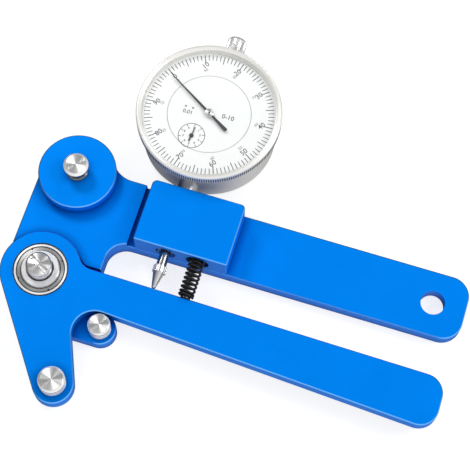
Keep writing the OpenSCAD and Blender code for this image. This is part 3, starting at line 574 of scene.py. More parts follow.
class Workpiece:
    """A mesh on the bench, in its own millimetres. Each step of work on it returns the workpiece."""

    def __init__(self) -> None:
        self.bm = bmesh.new()

    def lathe(self, profile: Profile, steps: int = 96, closed: bool = False) -> "Workpiece":
        """Turns a profile about the piece's own axis.

        Args:
            profile: Points as (radius, height).
            steps: Steps of the full turn.
            closed: True for a ring's profile, whose last point joins the first.
        """
        verts = [self.bm.verts.new((r, 0.0, z)) for r, z in profile]
        edges = [self.bm.edges.new(pair) for pair in zip(verts, verts[1:])]
        if closed:
            edges.append(self.bm.edges.new((verts[-1], verts[0])))
        bmesh.ops.spin(self.bm, geom=verts + edges, cent=(0, 0, 0), axis=(0, 0, 1),
                       dvec=(0, 0, 0), angle=math.tau, steps=steps, use_merge=True)
        return self.weld()

    def weld(self, gap: float = 1e-5) -> "Workpiece":
        """Joins points that lie within a gap of each other."""
        bmesh.ops.remove_doubles(self.bm, verts=self.bm.verts, dist=gap)
        return self

    def block(self, size: Sequence[float], at: Sequence[float], turn: float = 0.0) -> "Workpiece":
        """Adds a box.

        Args:
            size: Length, width and height.
            at: Middle of the box before its turn.
            turn: Turn about the piece's axis, in degrees.
        """
        spin = Matrix.Rotation(math.radians(turn), 4, "Z")
        scale = Matrix.Diagonal((*size, 1.0))
        bmesh.ops.create_cube(self.bm, size=1.0, matrix=spin @ Matrix.Translation(at) @ scale)
        return self

    def hoop(self, radius: float, width: float, z: float, height: float, at: Sequence[float] = (0, 0),
             steps: int = 96) -> "Workpiece":
        """Adds a thin flat ring.

        Args:
            radius: Radius of the ring's middle line.
            width: Width of the line.
            z: Height of its underside.
            height: Thickness.
            at: Middle of the ring.
            steps: Steps round it.
        """
        inner, outer = radius - width / 2, radius + width / 2
        piece = Workpiece().lathe([(inner, z), (outer, z), (outer, z + height), (inner, z + height)],
                                  steps, closed=True)
        return self.take(piece, Matrix.Translation((*at, 0.0)))

    def band(self, wall: float, low: float, high: float) -> "Workpiece":
        """Adds a thin band round a wall, which the posts and the stud wear as painted shade.

        Args:
            wall: Radius of the wall.
            low: Height of the band's lower edge.
            high: Height of its upper edge.
        """
        sunk, proud = 0.02, 0.015
        return self.hoop(wall + (proud - sunk) / 2, sunk + proud, low, high - low)

    def rim(self, wall: float, top: float, bevel: float) -> "Workpiece":
        """Adds a thin skin over the bevel round a turned top; on the posts it carries a painted highlight.

        Args:
            wall: Radius of the wall.
            top: Height of the top.
            bevel: Width of the bevel.
        """
        out, skin = wall - 0.04, 0.03
        return self.lathe([
            (out, top - bevel), (out + skin, top - bevel + skin), (out - bevel + skin, top + 0.001),
            (out - bevel, top - skin)], 96, closed=True)

    def take(self, other: "Workpiece", by: Matrix) -> "Workpiece":
        """Adds another workpiece's mesh.

        Args:
            other: The workpiece to add, which is used up.
            by: Transform to apply to it.
        """
        mesh = bpy.data.meshes.new("part")
        bmesh.ops.transform(other.bm, matrix=by, verts=other.bm.verts)
        other.bm.to_mesh(mesh)
        other.bm.free()
        self.bm.from_mesh(mesh)
        bpy.data.meshes.remove(mesh)
        return self

    def meshed(self, curve: bpy.types.Curve, by: Matrix) -> "Workpiece":
        """Adds a curve or a text as a mesh.

        Args:
            curve: The curve, which is used up.
            by: Transform to apply to it.
        """
        holder = bpy.data.objects.new("curve", curve)
        mesh = bpy.data.meshes.new_from_object(holder)
        bpy.data.objects.remove(holder)
        bpy.data.curves.remove(curve)
        piece = Workpiece()
        piece.bm.from_mesh(mesh)
        bpy.data.meshes.remove(mesh)
        return self.take(piece.weld(), by)

    def digits(self, body: str, height: float, at: Sequence[float], turn: float = 0.0) -> "Workpiece":
        """Adds digits that lie flat.

        Args:
            body: The digits.
            height: Height of a digit.
            at: Middle of the text, with its underside's height.
            turn: Direction of the baseline, in degrees.
        """
        thickness, widened = 0.01, 0.03  # of the print, and of its strokes on each side
        curve = bpy.data.curves.new("digits", "FONT")
        curve.body = body
        curve.size = height / DIGIT_SHARE
        curve.align_x, curve.align_y = "CENTER", "CENTER"
        curve.resolution_u = 3
        curve.offset = widened
        curve.extrude = thickness / 2
        lift = Matrix.Translation((at[0], at[1], at[2] + thickness / 2))
        return self.meshed(curve, lift @ Matrix.Rotation(math.radians(turn), 4, "Z"))

    def serrate(self, count: int, cut: float, above: float, low: float, high: float) -> "Workpiece":
        """Cuts serrations by pulling every second line of a lathed wall's points inwards.

        Args:
            count: Number of serrations, half of the lathe's steps.
            cut: Their depth.
            above: Radius outside which points belong to the wall.
            low: Least height of the points.
            high: Greatest height of the points.
        """
        for vert in self.bm.verts:
            x, y, z = vert.co
            r = math.hypot(x, y)
            if r > above and low <= z <= high and round(math.atan2(y, x) * count / math.pi) % 2:
                vert.co = Vector((x * (1 - cut / r), y * (1 - cut / r), z))
        return self

    def soften(self, width: float, segments: int = 2) -> "Workpiece":
        """Rounds the sharp edges.

        Args:
            width: Width of the rounding.
            segments: Segments of the rounding.
        """
        sharp = [e for e in self.bm.edges
                 if len(e.link_faces) == 2 and e.calc_face_angle(0.0) > math.radians(SHARP)]
        bmesh.ops.bevel(self.bm, geom=sharp, offset=width, offset_type="OFFSET", segments=segments,
                        profile=0.5, affect="EDGES", clamp_overlap=True, material=-1)
        return self


class Workshop:
    """Places finished pieces on the model.

    Args:
        frame: What the frame's loader returned.
        finishes: The finishes.
    """

    def __init__(self, frame: dict, finishes: Finishes) -> None:
        self.nodes: dict[str, Object] = frame["nodes"]
        self.finishes = finishes

    def dress(self, names: Sequence[str], material: Material) -> None:
        """Gives nodes of the model their finish.

        Args:
            names: Names of the nodes.
            material: The finish.
        """
        for name in names:
            node = self.nodes[name]
            node.data.materials.clear()
            node.data.materials.append(material)
            LOG.info("dressed %s in %s", name, material.name)

    def place(self, name: str, piece: Workpiece, where: Place, material: Material,
              body: Body | None, slot: Slot, stands_for: Sequence[str] = (), smooth: float = SHARP
              ) -> Object:
        """Turns a workpiece into an object that rides on a body.

        Args:
            name: Name of the object.
            piece: The workpiece, which is used up.
            where: Its place in the model.
            material: Its finish.
            body: The body that carries it, or None for a piece that is left without one.
            slot: The record's material slot; not used.
            stands_for: Nodes of the model that it replaces.
            smooth: Edges under this angle, in degrees, are shaded smooth.

        Returns:
            The object.
        """
        bmesh.ops.recalc_face_normals(piece.bm, faces=piece.bm.faces)
        bmesh.ops.transform(piece.bm, matrix=where.matrix(), verts=piece.bm.verts)
        mesh = bpy.data.meshes.new(name)
        piece.bm.to_mesh(mesh)
        piece.bm.free()
        mesh.polygons.foreach_set("use_smooth", [True] * len(mesh.polygons))
        mesh.set_sharp_from_angle(angle=math.radians(smooth))
        mesh.materials.append(material)
        made = linked(name, mesh)
        if body is not None:
            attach(made, body.value)
        if stands_for:
            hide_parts(*stands_for)
        LOG.info("placed %s on %s: %d faces", name, body.value if body else "two bodies", len(mesh.polygons))
        return made

    def refined(self, node: str, width: float, material: Material, body: Body, slot: Slot) -> Object:
        """Swaps a node of the model for a copy with rounded edges.

        Args:
            node: Name of the node.
            width: Width of the rounding, in millimetres.
            material: The finish.
            body: The body that carries it.
            slot: The record's material slot.

        Returns:
            The new object.
        """
        piece = Workpiece()
        piece.bm.from_mesh(self.nodes[node].data)
        bmesh.ops.transform(piece.bm, matrix=Matrix.Scale(1 / MM, 4), verts=piece.bm.verts)
        piece.weld(1e-4)
        bmesh.ops.dissolve_limit(piece.bm, angle_limit=math.radians(0.5), use_dissolve_boundaries=False,
                                 verts=piece.bm.verts, edges=piece.bm.edges)
        piece.soften(width)
        return self.place(f"{node}_finished", piece, Place(0, 0), material, body, slot, [node])


# Studio


@dataclass
class Studio:
    """White floor, soft lights and the camera.

    Args:
        focal_mm: Focal length on a 36 mm sensor.
        eye: Camera position in millimetres.
        right: The camera's right in the model's frame.
        up: The camera's up in the model's frame.
        floor_size: Side of the floor in metres.
        bright: Brightness of the surroundings on the side of the white cards.
        dim: Brightness of the surroundings on the far side.
        cards: Direction of the white cards.
        fall: Cosines of the angle from the cards at which it is dim and bright.
        aim: Point that the softboxes face, in metres.
        boxes: Name, position and side in metres, and power of each softbox.
    """

    focal_mm: float = 112.6
    eye: tuple[float, float, float] = (121.4, -153.2, 553.0)
    right: tuple[float, float, float] = (0.9557, 0.2944, 0.0084)
    up: tuple[float, float, float] = (-0.2794, 0.8974, 0.3415)
    floor_size: float = 12.0
    bright: float = 1.1
    dim: float = 0.02
    cards: tuple[float, float, float] = (0.55, -0.78, 0.25)
    fall: tuple[float, float] = (-0.75, 1.0)
    aim: tuple[float, float, float] = (0.07, 0.03, 0.0)
    boxes: tuple = (("key softbox", (-0.75, 0.7, 1.0), 0.45, 8.8),
                    ("back softbox", (0.2, 1.0, 0.75), 0.3, 2.5),
                    ("side softbox", (0.95, 0.35, 0.9), 0.4, 5.0))

    def camera(self) -> Object:
        """Returns the scene's camera."""
        data = bpy.data.cameras.new("camera")
        data.lens = self.focal_mm
        data.sensor_width = 36.0
        data.clip_start, data.clip_end = 0.01, 50.0
        made = linked("camera", data)
        right = Vector(self.right).normalized()
        back = right.cross(Vector(self.up)).normalized()
        up = back.cross(right)
        turn = Matrix((right, up, back)).transposed().to_4x4()
        made.matrix_world = Matrix.Translation(Vector(self.eye) * MM) @ turn
        bpy.context.scene.camera = made
        return made

    def floor(self) -> Object:
        """Returns the floor, just under the back of the frame."""
        mesh = bpy.data.meshes.new("floor")
        bm = bmesh.new()
        bmesh.ops.create_grid(bm, x_segments=1, y_segments=1, size=self.floor_size / 2,
                              matrix=Matrix.Translation((0.0, 0.0, -0.0001)))
        bm.to_mesh(mesh)
        bm.free()
        mesh.materials.append(StudioPaper().make())
        made = linked("floor", mesh)
        made.visible_glossy = made.visible_diffuse = False
        made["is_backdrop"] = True
        return made

    def lights(self) -> None:
        """Adds the softboxes, square area lights that face the object."""
        for name, at, side, watts in self.boxes:
            data = bpy.data.lights.new(name, "AREA")
            data.shape, data.size, data.size_y, data.energy = "RECTANGLE", side, side, watts
            made = linked(name, data)
            made.location = at
            made.rotation_mode = "QUATERNION"
            made.rotation_quaternion = (Vector(self.aim) - Vector(at)).to_track_quat("-Z", "Y")
            made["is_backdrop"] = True

    def world(self) -> None:
        """Sets surroundings that are bright towards the white cards and fall off away from them."""
        world = bpy.data.worlds.new("studio")
        bpy.context.scene.world = world
        world.use_nodes = True
        graph = Graph(world.node_tree)
        look = graph.node("TexCoord").outputs["Generated"]
        towards = graph.vector("DOT_PRODUCT", look, Vector(self.cards).normalized())
        light = graph.spread(towards, self.dim, self.bright, *self.fall, interpolation_type="SMOOTHSTEP")
        glow = graph.node("Background", {"Color": (*WHITE, 1.0), "Strength": light})
        graph.node("OutputWorld", {"Surface": glow.outputs[0]})

    def build(self) -> None:
        """Builds the floor, the lights and the sky."""
        self.floor()
        self.lights()
        self.world()
        bpy.context.scene.view_settings.view_transform = "Standard"
        bpy.context.scene.view_settings.look = "None"


# The object


class Assembly(ABC):
    """A part of the object that makes and dresses its own pieces."""

    @abstractmethod
    def build(self, shop: Workshop) -> None:
        """Makes and dresses the pieces.

        Args:
            shop: The workshop that places them.
        """


@dataclass
class BlueBodies(Assembly):
    """The anodised frame plate, gauge block, anvil disc and lever."""

    def build(self, shop: Workshop) -> None:
        """Dresses the blue pieces."""
        names = ("frame_plate", "gauge_block", "anvil_disc", "lever")
        shop.dress(names, shop.finishes.blue)


@dataclass
class SpokePosts(Assembly):
    """The three turned posts that the spoke lies across.

    Args:
        anvil: Axis of the disc post, on top of the anvil disc.
        stop: Axis of the stop post, on the frame plate.
        foot: Axis of the foot post, on the lever.
        edge: Radius of the worn edges.
    """

    anvil: Place = Place(0.6, 42.4, 14.5)
    stop: Place = Place(28.7, -14.2, 6.0)
    foot: Place = Place(19.6, -41.2, 12.2)
    edge: float = 0.22

    def spool(self) -> Workpiece:
        """Returns the disc post: a cap on a slimmer neck."""
        return Workpiece().lathe(rounded([
            (0.0, 0.0), (4.3, 0.0), (4.3, 0.6), (3.7, 1.0), (3.7, 4.8), (4.95, 5.2),
            (4.95, 6.0), (3.95, 7.0), (0.0, 7.0)], self.edge))

    def waist(self) -> Workpiece:
        """Returns a sleeve over the disc post's neck, in darkened steel that paints the shade under the cap.
        """
        return Workpiece().lathe([(4.25, 0.02), (4.34, 0.02), (4.34, 0.62), (3.74, 1.05), (3.74, 4.75),
                                  (3.68, 4.75), (3.68, 1.0), (4.25, 0.6)], closed=True)

    def button(self, diameter: float, height: float, bevel: float) -> Workpiece:
        """Returns a plain post.

        Args:
            diameter: Diameter of the post.
            height: Height of the post.
            bevel: Bevel round its top.
        """
        r = diameter / 2
        return Workpiece().lathe(rounded([
            (0.0, 0.0), (r, 0.0), (r, height - bevel), (r - bevel, height), (0.0, height)], self.edge))

    def build(self, shop: Workshop) -> None:
        """Makes the posts and dresses their screws."""
        for name, piece, where, body, wall, top, bevel in (
            ("disc_post", self.spool(), self.anvil, Body.FRAME, 4.95, 7.0, 0.9),
            ("stop_post", self.button(8.8, 6.0, 0.7), self.stop, Body.FRAME, 4.4, 6.0, 0.7),
            ("foot_post", self.button(10.4, 5.6, 0.8), self.foot, Body.LEVER, 5.2, 5.6, 0.8),
        ):
            finish = shop.finishes.keep(Turned(f"turned steel of the {name}", where))
            shop.place(f"{name}_turned", piece, where, finish, body, Slot.TURNED, [name])
            # The rim is a near-white skin that paints the bright highlight on the bevel.
            rim = Workpiece().rim(wall, top, bevel)
            shop.place(f"{name}_rim", rim, where, shop.finishes.polished, body, Slot.TURNED)
            # The line is a dark band that paints the shade under the bevel.
            line = Workpiece().band(wall - 0.01, top - bevel - 0.6, top - bevel - 0.05)
            shop.place(f"{name}_line", line, where, shop.finishes.dark, body, Slot.TURNED)
        # The waist is a dark sleeve that paints the shade under the disc post's cap.
        shop.place("disc_post_waist", self.waist(), self.anvil, shop.finishes.drawn, Body.FRAME, Slot.TURNED)
        shop.dress(("frame_post_screws", "foot_post_screw", "block_screws", "stem_grub_screw"),
                   shop.finishes.black)


@dataclass
class PivotBearing(Assembly):
    """The pivot stud and the shielded ball bearing that the lever turns on.

    Args:
        front: Height of the bearing's front.
        shield_top: Height of the front shield's top.
        stud_top: Height of the stud's top.
        notch_r: Radius on which the shield's notches lie.
        notches: Number of notches.
        groove_r: Radius of the black hoop that paints the shade in the groove between the shield and the
            outer ring.
        flange_r: Radius of the black hoop that paints the shade in the gap round the stud's flange.
        bore_r: Radius of the black hoop that paints the shade in the fine joint between the outer ring and
            the lever.
        bands: Radius, lower and upper edge of each dark band that paints shade on the stud.
        flange_top: Height of the stud's flange over the bearing's front.
    """

    front: float = 12.2
    shield_top: float = 12.0
    stud_top: float = 18.8
    notch_r: float = 9.0
    notches: int = 4
    groove_r: float = 9.3
    flange_r: float = 7.8
    bore_r: float = 10.6
    bands: tuple = ((4.99, 17.85, 18.1), (3.75, 14.7, 16.6), (4.55, 13.45, 13.8))
    flange_top: float = 1.2

    def build(self, shop: Workshop) -> None:
        """Dresses the bearing and refines the stud."""
        axis = Place(0, 0, self.front)
        turned = shop.finishes.keep(Turned("turned steel of the pivot stud", axis))
        ground = shop.finishes.keep(Turned("ground bearing steel", axis, (0.92, 0.92, 0.91),
                                           0.4, 0.6, 14.0, 0.08, 0.5))
        pressed = shop.finishes.keep(Turned("pressed shield steel", axis, (0.5, 0.5, 0.49),
                                            0.4, 0.8, 10.0, 0.1))
        shop.refined("pivot_stud", 0.12, turned, Body.FRAME, Slot.TURNED)
        # Painted shade: dark rings on the stud's wall and neck, and a dark hoop for the cap's shadow on the
        # flange.
        bands = Workpiece()
        for wall, low, high in self.bands:
            bands.band(wall, low, high)
        bands.hoop(4.95, 0.7, self.front + self.flange_top, 0.02)
        # Painted highlight: a thin near-white sheet lightens the top of the stud's flange.
        face = Workpiece().hoop(6.35, 1.7, self.front + self.flange_top, 0.015)
        for name, piece, material in (
            ("stud_rim", Workpiece().rim(5.0, self.stud_top, 0.5), shop.finishes.steel),
            ("stud_flange_highlight", face, shop.finishes.polished),
            ("stud_shade_bands", bands, shop.finishes.dark),
        ):
            shop.place(name, piece, Place(0, 0), material, Body.FRAME, Slot.TURNED)
        shop.dress(("pivot_spacer", "bearing_balls"), shop.finishes.steel)
        shop.dress(("spring_pin",), shop.finishes.dark)
        shop.dress(("bearing_inner_ring", "bearing_outer_ring"), ground)
        shop.dress(("bearing_shields",), pressed)
        shop.dress(("bearing_cage",), shop.finishes.brass)
        marks = Workpiece()
        for i in range(self.notches):
            marks.block((0.55, 0.7, 0.06), (self.notch_r, 0, 0.03), 40 + 360 * i / self.notches)
        marks.soften(0.02, segments=1)
        # Painted shade: the three black hoops stand for the shade in the groove, the gap round the flange and
        # the joint at the bore.
        marks.hoop(self.groove_r, 0.34, 0.02, 0.06)
        marks.hoop(self.flange_r, 0.28, 0.01, 0.04)
        marks.hoop(self.bore_r, 0.4, 0.2, 0.02)
        shop.place("shield_notches_and_shade_hoops", marks, Place(0, 0, self.shield_top), shop.finishes.black,
                   Body.LEVER, Slot.SHIELD)


@dataclass
class OpeningSpring(Assembly):
    """The compression spring between the lever and the gauge block.

    Args:
        x: Distance of its axis from the lever's axis.
        z: Height of its axis.
        low: Its lower end.
        high: Its upper end.
        outer: Its outer diameter.
        wire: Its wire.
        pitch: Rise of each open coil.
        rings_per_turn: Rings of points on each coil.
    """

    x: float = 57.0
    z: float = 11.0
    low: float = 6.06
    high: float = 31.0
    outer: float = 6.5
    wire: float = 1.0
    pitch: float = 1.8
    rings_per_turn: int = 28

    def route(self) -> list[Vector]:
        """Returns the wire's middle line, along the piece's own Y, with a closed coil at each end."""
        r = (self.outer - self.wire) / 2
        length = self.high - self.low - self.wire
        open_turns = (length - 2 * self.wire) / self.pitch
        turns = open_turns + 2
        count = math.ceil(turns * self.rings_per_turn)
        line = []
        for i in range(count + 1):
            turn = i / count * turns
            rise = min(turn, 1.0) * self.wire
            rise += max(0.0, min(turn - 1.0, open_turns)) * self.pitch
            rise += max(0.0, turn - 1.0 - open_turns) * self.wire
            angle = math.tau * turn
            line.append(Vector((r * math.cos(angle), self.wire / 2 + rise, r * math.sin(angle))))
        return line

    def tube(self) -> Workpiece:
        """Returns the wire as one tube."""
        curve = bpy.data.curves.new("wire", "CURVE")
        curve.dimensions = "3D"
        curve.bevel_depth = self.wire / 2
        curve.bevel_resolution = 2
        curve.use_fill_caps = True
        points = self.route()
        spline = curve.splines.new("POLY")
        spline.points.add(len(points) - 1)
        for point, at in zip(spline.points, points):
            point.co = (*at, 1.0)
        return Workpiece().meshed(curve, Matrix.Identity(4))

    def build(self, shop: Workshop) -> None:
        """Makes the spring."""
        made = shop.place("opening_spring", self.tube(), Place(self.x, self.low, self.z),
                          shop.finishes.black, None, Slot.BLACK, ["compression_spring"], 60.0)
        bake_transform(made)


@dataclass
class Bezel(Assembly):
    """The bezel that turns the scale: a bright lip and a serrated edge.

    Args:
        centre: Middle of the dial.
        outer: Its outer radius.
        back: Height of its back edge.
        front: Height of its front edge.
        serrations: Number of serrations.
        cut: Depth of the serrations.
        band: Lower and upper edge of the serrations.
    """

    centre: Place = Place(44.0, 78.5)
    outer: float = 29.0
    back: float = 19.75
    front: float = 24.4
    serrations: int = 200
    cut: float = 0.35
    band: tuple[float, float] = (20.3, 22.6)

    def ring(self) -> Workpiece:
        """Returns the bezel."""
        r, f = self.outer, self.front
        low, high = self.band
        profile = [
            (25.94, self.back), (r - 0.5, self.back), (r - 0.3, self.back + 0.2), (r - 0.12, low - 0.1),
            (r - 0.02, low), (r - 0.02, high), (r - 0.25, high + 0.12), (r - 0.25, high + 0.4),
            (r - 0.02, high + 0.55), (r, f - 0.75), (r - 0.06, f - 0.35), (r - 0.3, f - 0.1),
            (r - 0.7, f), (r - 1.05, f - 0.03), (27.0, 23.75), (27.0, 23.05), (26.45, 22.95),
            (26.45, 21.0), (25.94, 21.0),
        ]
        piece = Workpiece().lathe(profile, 2 * self.serrations, closed=True)
        return piece.serrate(self.serrations, self.cut, r - 0.1, low - 0.01, high + 0.01)

    def grooves(self) -> Workpiece:
        """Returns black blocks in the bottoms of the serrations, which paint their shade."""
        low, high = self.band
        lines = Workpiece()
        for i in range(self.serrations):
            lines.block((0.12, 0.48, high - low - 0.2), (self.outer - 0.1, 0.0, (low + high) / 2),
                        360 * (i + 0.5) / self.serrations)
        return lines

    def build(self, shop: Workshop) -> None:
        """Makes the bezel and dresses the pieces on it."""
        finish = shop.finishes.keep(Turned("bright bezel", Place(self.centre.x, self.centre.y, 22.0),
                                           (0.79, 0.78, 0.75), 0.36, 0.4, 5.0, 0.05, 0.4))
        shop.place("bezel_serrated", self.ring(), self.centre, finish, Body.BEZEL, Slot.SATIN,
                   ["dial_bezel"], 40.0)
        # Painted shade: black blocks darken the bottoms of the serrations.
        shop.place("bezel_groove_shade", self.grooves(), self.centre, shop.finishes.black, Body.BEZEL, Slot.SATIN)
        shop.dress(("bezel_snap_ring",), shop.finishes.steel)
        shop.dress(("crystal",), shop.finishes.clear)


@dataclass
class GaugeCase(Assembly):
    """The gauge's case, back cover and stem.

    Args:
        centre: Point on the case's axis.
        stem: Point on the stem's axis.
    """

    centre: Place = Place(44.0, 78.5, 10.0)
    stem: Place = Place(44.0, 40.0, 11.0, Axis.ALONG_SPINDLE)

    def build(self, shop: Workshop) -> None:
        """Dresses the case."""
        case = shop.finishes.keep(Turned("satin chrome of the case", self.centre, (0.68, 0.665, 0.63),
                                         0.45, 0.4, 6.0, 0.05, 0.4))
        stem = shop.finishes.keep(Turned("ground chrome of the stem", self.stem, (0.55, 0.55, 0.55),
                                         0.3, 0.7, 8.0, 0.08))
        shop.dress(("dial_case", "back_cover"), case)
        shop.dress(("dial_stem",), stem)
        shop.dress(("back_cover_screws", "plate_screws"), shop.finishes.steel)
        shop.dress(("stem_bush", "case_top_bush"), shop.finishes.brass)


@dataclass
class DialFace(Assembly):
    """The turning scale, the fixed inner face and their marks.

    Args:
        centre: Middle of the dial, on the face.
        zero: Direction of the scale's zero, in degrees.
        outer: Outer radius of the scale's marks.
        counter: Middle of the counter dial from the middle of the main dial.
        print_height: Thickness of the print.
        rows: Radius and height of the outer and the inner row of numbers.
        joint_r: Radius of the fine circle at the joint of the two faces.
        counter_r: Radius of the counter dial's circle.
    """

    centre: Place = Place(44.0, 78.5, 21.4)
    zero: float = 147.0
    outer: float = 25.9
    counter: tuple[float, float] = (-3.9, -11.0)
    print_height: float = 0.012
    rows: tuple = ((21.4, 2.1), (19.2, 1.25))
    joint_r: float = 16.6
    counter_r: float = 5.25

    def scale(self) -> Workpiece:
        """Returns the hundred marks of the scale."""
        marks = Workpiece()
        for i in range(100):
            length, width = 2.4, 0.3
            if i % 10 == 0:
                length, width = 3.6, 0.36
            elif i % 5 == 0:
                length, width = 3.4, 0.33
            middle = (self.outer - length / 2, 0, self.print_height / 2)
            marks.block((length, width, self.print_height), middle, self.zero - 3.6 * i)
        return marks

    def numbers(self, radius: float, height: float, backwards: bool) -> Workpiece:
        """Returns the scale's numbers.

        Args:
            radius: Radius on which they stand.
            height: Height of a digit.
            backwards: True for the inner row, which counts the other way.
        """
        marks = Workpiece()
        for i in range(10):
            value = (100 - 10 * i) % 100 if backwards else 10 * i
            angle = math.radians(self.zero - 36 * i)
            at = (radius * math.cos(angle), radius * math.sin(angle), 0.0)
            marks.digits(str(value), height, at, self.zero - 90)
        return marks

    def circle(self) -> Workpiece:
        """Returns the fine circle at the joint of the two faces."""
        return Workpiece().hoop(self.joint_r, 0.14, 0.0, self.print_height, steps=128)

    def counter_marks(self) -> Workpiece:
        """Returns the counter dial: its circle, marks and digits."""
        marks = Workpiece().hoop(self.counter_r, 0.26, 0.0, self.print_height, self.counter, 64)
        for i in range(10):
            turn = 90 - 36 * i
            arm = Workpiece().block((1.15, 0.24, self.print_height), (4.65, 0, self.print_height / 2), turn)
            marks.take(arm, Matrix.Translation((*self.counter, 0.0)))
            angle = math.radians(turn)
            at = (self.counter[0] + 3.35 * math.cos(angle), self.counter[1] + 3.35 * math.sin(angle), 0.0)
            marks.digits(str(i), 0.95, at)
        return marks

    def captions(self) -> Workpiece:
        """Returns the plain numbers of the inner face and its two arrowheads."""
        marks = Workpiece().digits("0.01", 1.7, (-8.4, -1.6, 0.0)).digits("0-10", 2.0, (7.6, 0.6, 0.0))
        for side in (-1, 1):
            head = Workpiece()
            bmesh.ops.create_cone(head.bm, cap_ends=True, segments=3, radius1=0.62, radius2=0.62,
                                  depth=self.print_height)
            turn = Matrix.Rotation(math.radians(90 + 90 * side), 4, "Z")
            marks.take(head, Matrix.Translation((-8.4 + 1.5 * side, 0.6, self.print_height / 2)) @ turn)
        return marks

    def build(self, shop: Workshop) -> None:
        """Prints the marks and dresses the faces."""
        ink, faint = shop.finishes.print, shop.finishes.faint
        shop.dress(("inner_face", "scale_ring"), shop.finishes.paper)
        for name, marks, print_ink, body in (
            ("scale_marks", self.scale(), ink, Body.BEZEL),
            ("scale_numbers", self.numbers(*self.rows[0], False), ink, Body.BEZEL),
            ("scale_numbers_back", self.numbers(*self.rows[1], True), faint, Body.BEZEL),
            ("face_circle", self.circle(), faint, Body.FRAME),
            ("counter_marks", self.counter_marks(), ink, Body.FRAME),
            ("face_numbers", self.captions(), ink, Body.FRAME),
        ):
            shop.place(name, marks, self.centre, print_ink, body, Slot.INK)


@dataclass
class Pointers(Assembly):
    """The main pointer and the counter pointer.

    Args:
        axis: Axis of the main pointer, at its underside, turned the way it points.
    """

    axis: Place = Place(44.0, 78.5, 22.25, turn=148.4)

    def blade(self) -> Workpiece:
        """Returns the main pointer's blade and tail."""
        piece = Workpiece()
        outline = [(-10.2, -0.5), (-9.8, -0.75), (-1.0, -0.42), (1.0, -0.52), (19.6, -0.25), (23.6, -0.06),
                   (23.6, 0.06), (19.6, 0.25), (1.0, 0.52), (-1.0, 0.42), (-9.8, 0.75), (-10.2, 0.5)]
        corners = [piece.bm.verts.new((x, y, 0.0)) for x, y in outline]
        face = piece.bm.faces.new(corners)
        grown = bmesh.ops.extrude_face_region(piece.bm, geom=[face])["geom"]
        rise = [v for v in grown if isinstance(v, bmesh.types.BMVert)]
        bmesh.ops.translate(piece.bm, verts=rise, vec=(0, 0, 0.19))
        return piece.soften(0.03, segments=1)

    def build(self, shop: Workshop) -> None:
        """Makes the main pointer and dresses the counter pointer."""
        hub = Workpiece().lathe(rounded([(0.0, 0.0), (1.2, 0.0), (1.75, 0.15), (1.75, 0.35), (1.4, 0.44),
                                         (0.55, 0.44), (0.5, 0.36), (0.0, 0.36)], 0.06), 48)
        silver = shop.finishes.keep(Turned("turned hub of the pointer", self.axis, (0.8, 0.8, 0.8), 0.36))
        shop.place("pointer_blade", self.blade(), self.axis, shop.finishes.hand, Body.CENTRE, Slot.INK,
                   ["main_pointer"])
        shop.place("pointer_hub", hub, self.axis, silver, Body.CENTRE, Slot.TURNED)
        dot = Workpiece().lathe([(0.0, 0.36), (0.34, 0.36), (0.34, 0.42), (0.0, 0.42)], 24)
        shop.place("pointer_dot", dot, self.axis, shop.finishes.hand, Body.CENTRE, Slot.INK)
        shop.dress(("counter_pointer",), shop.finishes.hand)


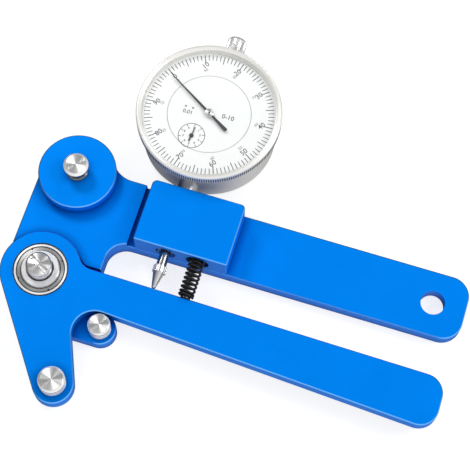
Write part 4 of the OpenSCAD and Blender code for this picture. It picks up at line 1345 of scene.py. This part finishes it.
@dataclass
class Spindle(Assembly):
    """The gauge's spindle, its contact point and its lifting cap.

    Args:
        axis: Axis of the spindle.
        cap_y: Start of the lifting cap.
        cap_r: Its radius.
        cap_l: Its length.
        serrations: Number of its serrations.
        cut: Their depth.
    """

    axis: Place = Place(44.0, 0.0, 11.0, Axis.ALONG_SPINDLE)
    cap_y: float = 110.05
    cap_r: float = 4.0
    cap_l: float = 8.0
    serrations: int = 44
    cut: float = 0.3

    def cap(self) -> Workpiece:
        """Returns the lifting cap, with straight serrations."""
        r, l = self.cap_r, self.cap_l
        outline = rounded([(0.0, 0.0), (r - 0.6, 0.0), (r, 0.6), (r, 1.0), (r, l - 1.0), (r, l - 0.6),
                           (r - 0.6, l), (0.0, l)], 0.15)
        piece = Workpiece().lathe(outline, 2 * self.serrations)
        return piece.serrate(self.serrations, self.cut, r - 0.02, 0.9, l - 0.9)

    def build(self, shop: Workshop) -> None:
        """Makes the cap and dresses the spindle."""
        finish = shop.finishes.keep(Turned("ground steel of the spindle", self.axis, (0.36, 0.36, 0.365),
                                           0.2, 0.5, 8.0, 0.06))
        cap = shop.finishes.keep(Satin("serrated chrome", (0.66, 0.66, 0.665), (0.6, 0.6, 0.61), 0.34))
        shop.dress(("spindle",), finish)
        shop.dress(("contact_point", "spindle_rack"), shop.finishes.steel)
        where = Place(self.axis.x, self.cap_y, self.axis.z, Axis.ALONG_SPINDLE)
        shop.place("lift_cap_serrated", self.cap(), where, cap, Body.SPINDLE, Slot.SATIN, ["lift_cap"], 30.0)


@dataclass
class Movement(Assembly):
    """The wheels, plates and arbors inside the case."""

    def build(self, shop: Workshop) -> None:
        """Dresses the movement."""
        shop.dress(("pillars", "middle_plate", "front_plate", "counter_wheel", "take_up_wheel"),
                   shop.finishes.brass)
        shop.dress(("counter_arbor", "centre_pinion", "take_up_arbor"), shop.finishes.steel)
        shop.dress(("hairspring",), shop.finishes.black)


def corners(label: str) -> dict[str, list[float]]:
    """Measures the shown object.

    Args:
        label: What the measure is called in the log.

    Returns:
        Its lowest and highest corner as plain lists, in metres.
    """
    low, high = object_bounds()
    LOG.info("%s: %s to %s", label, tuple(low), tuple(high))
    return {"low": list(low), "high": list(high)}


def main() -> None:
    """Builds the scene."""
    logging.basicConfig(level=logging.INFO, format="%(name)s: %(message)s")
    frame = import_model()
    sizes = {"loaded": corners("as loaded")}
    studio = Studio()
    studio.camera()
    studio.build()
    shop = Workshop(frame, Finishes())
    for assembly in (BlueBodies(), SpokePosts(), PivotBearing(), OpeningSpring(), GaugeCase(), Bezel(),
                     DialFace(), Pointers(), Spindle(), Movement()):
        LOG.info("building %s", type(assembly).__name__)
        assembly.build(shop)
    sizes["finished"] = corners("finished")


if __name__ == "__main__":
    main()
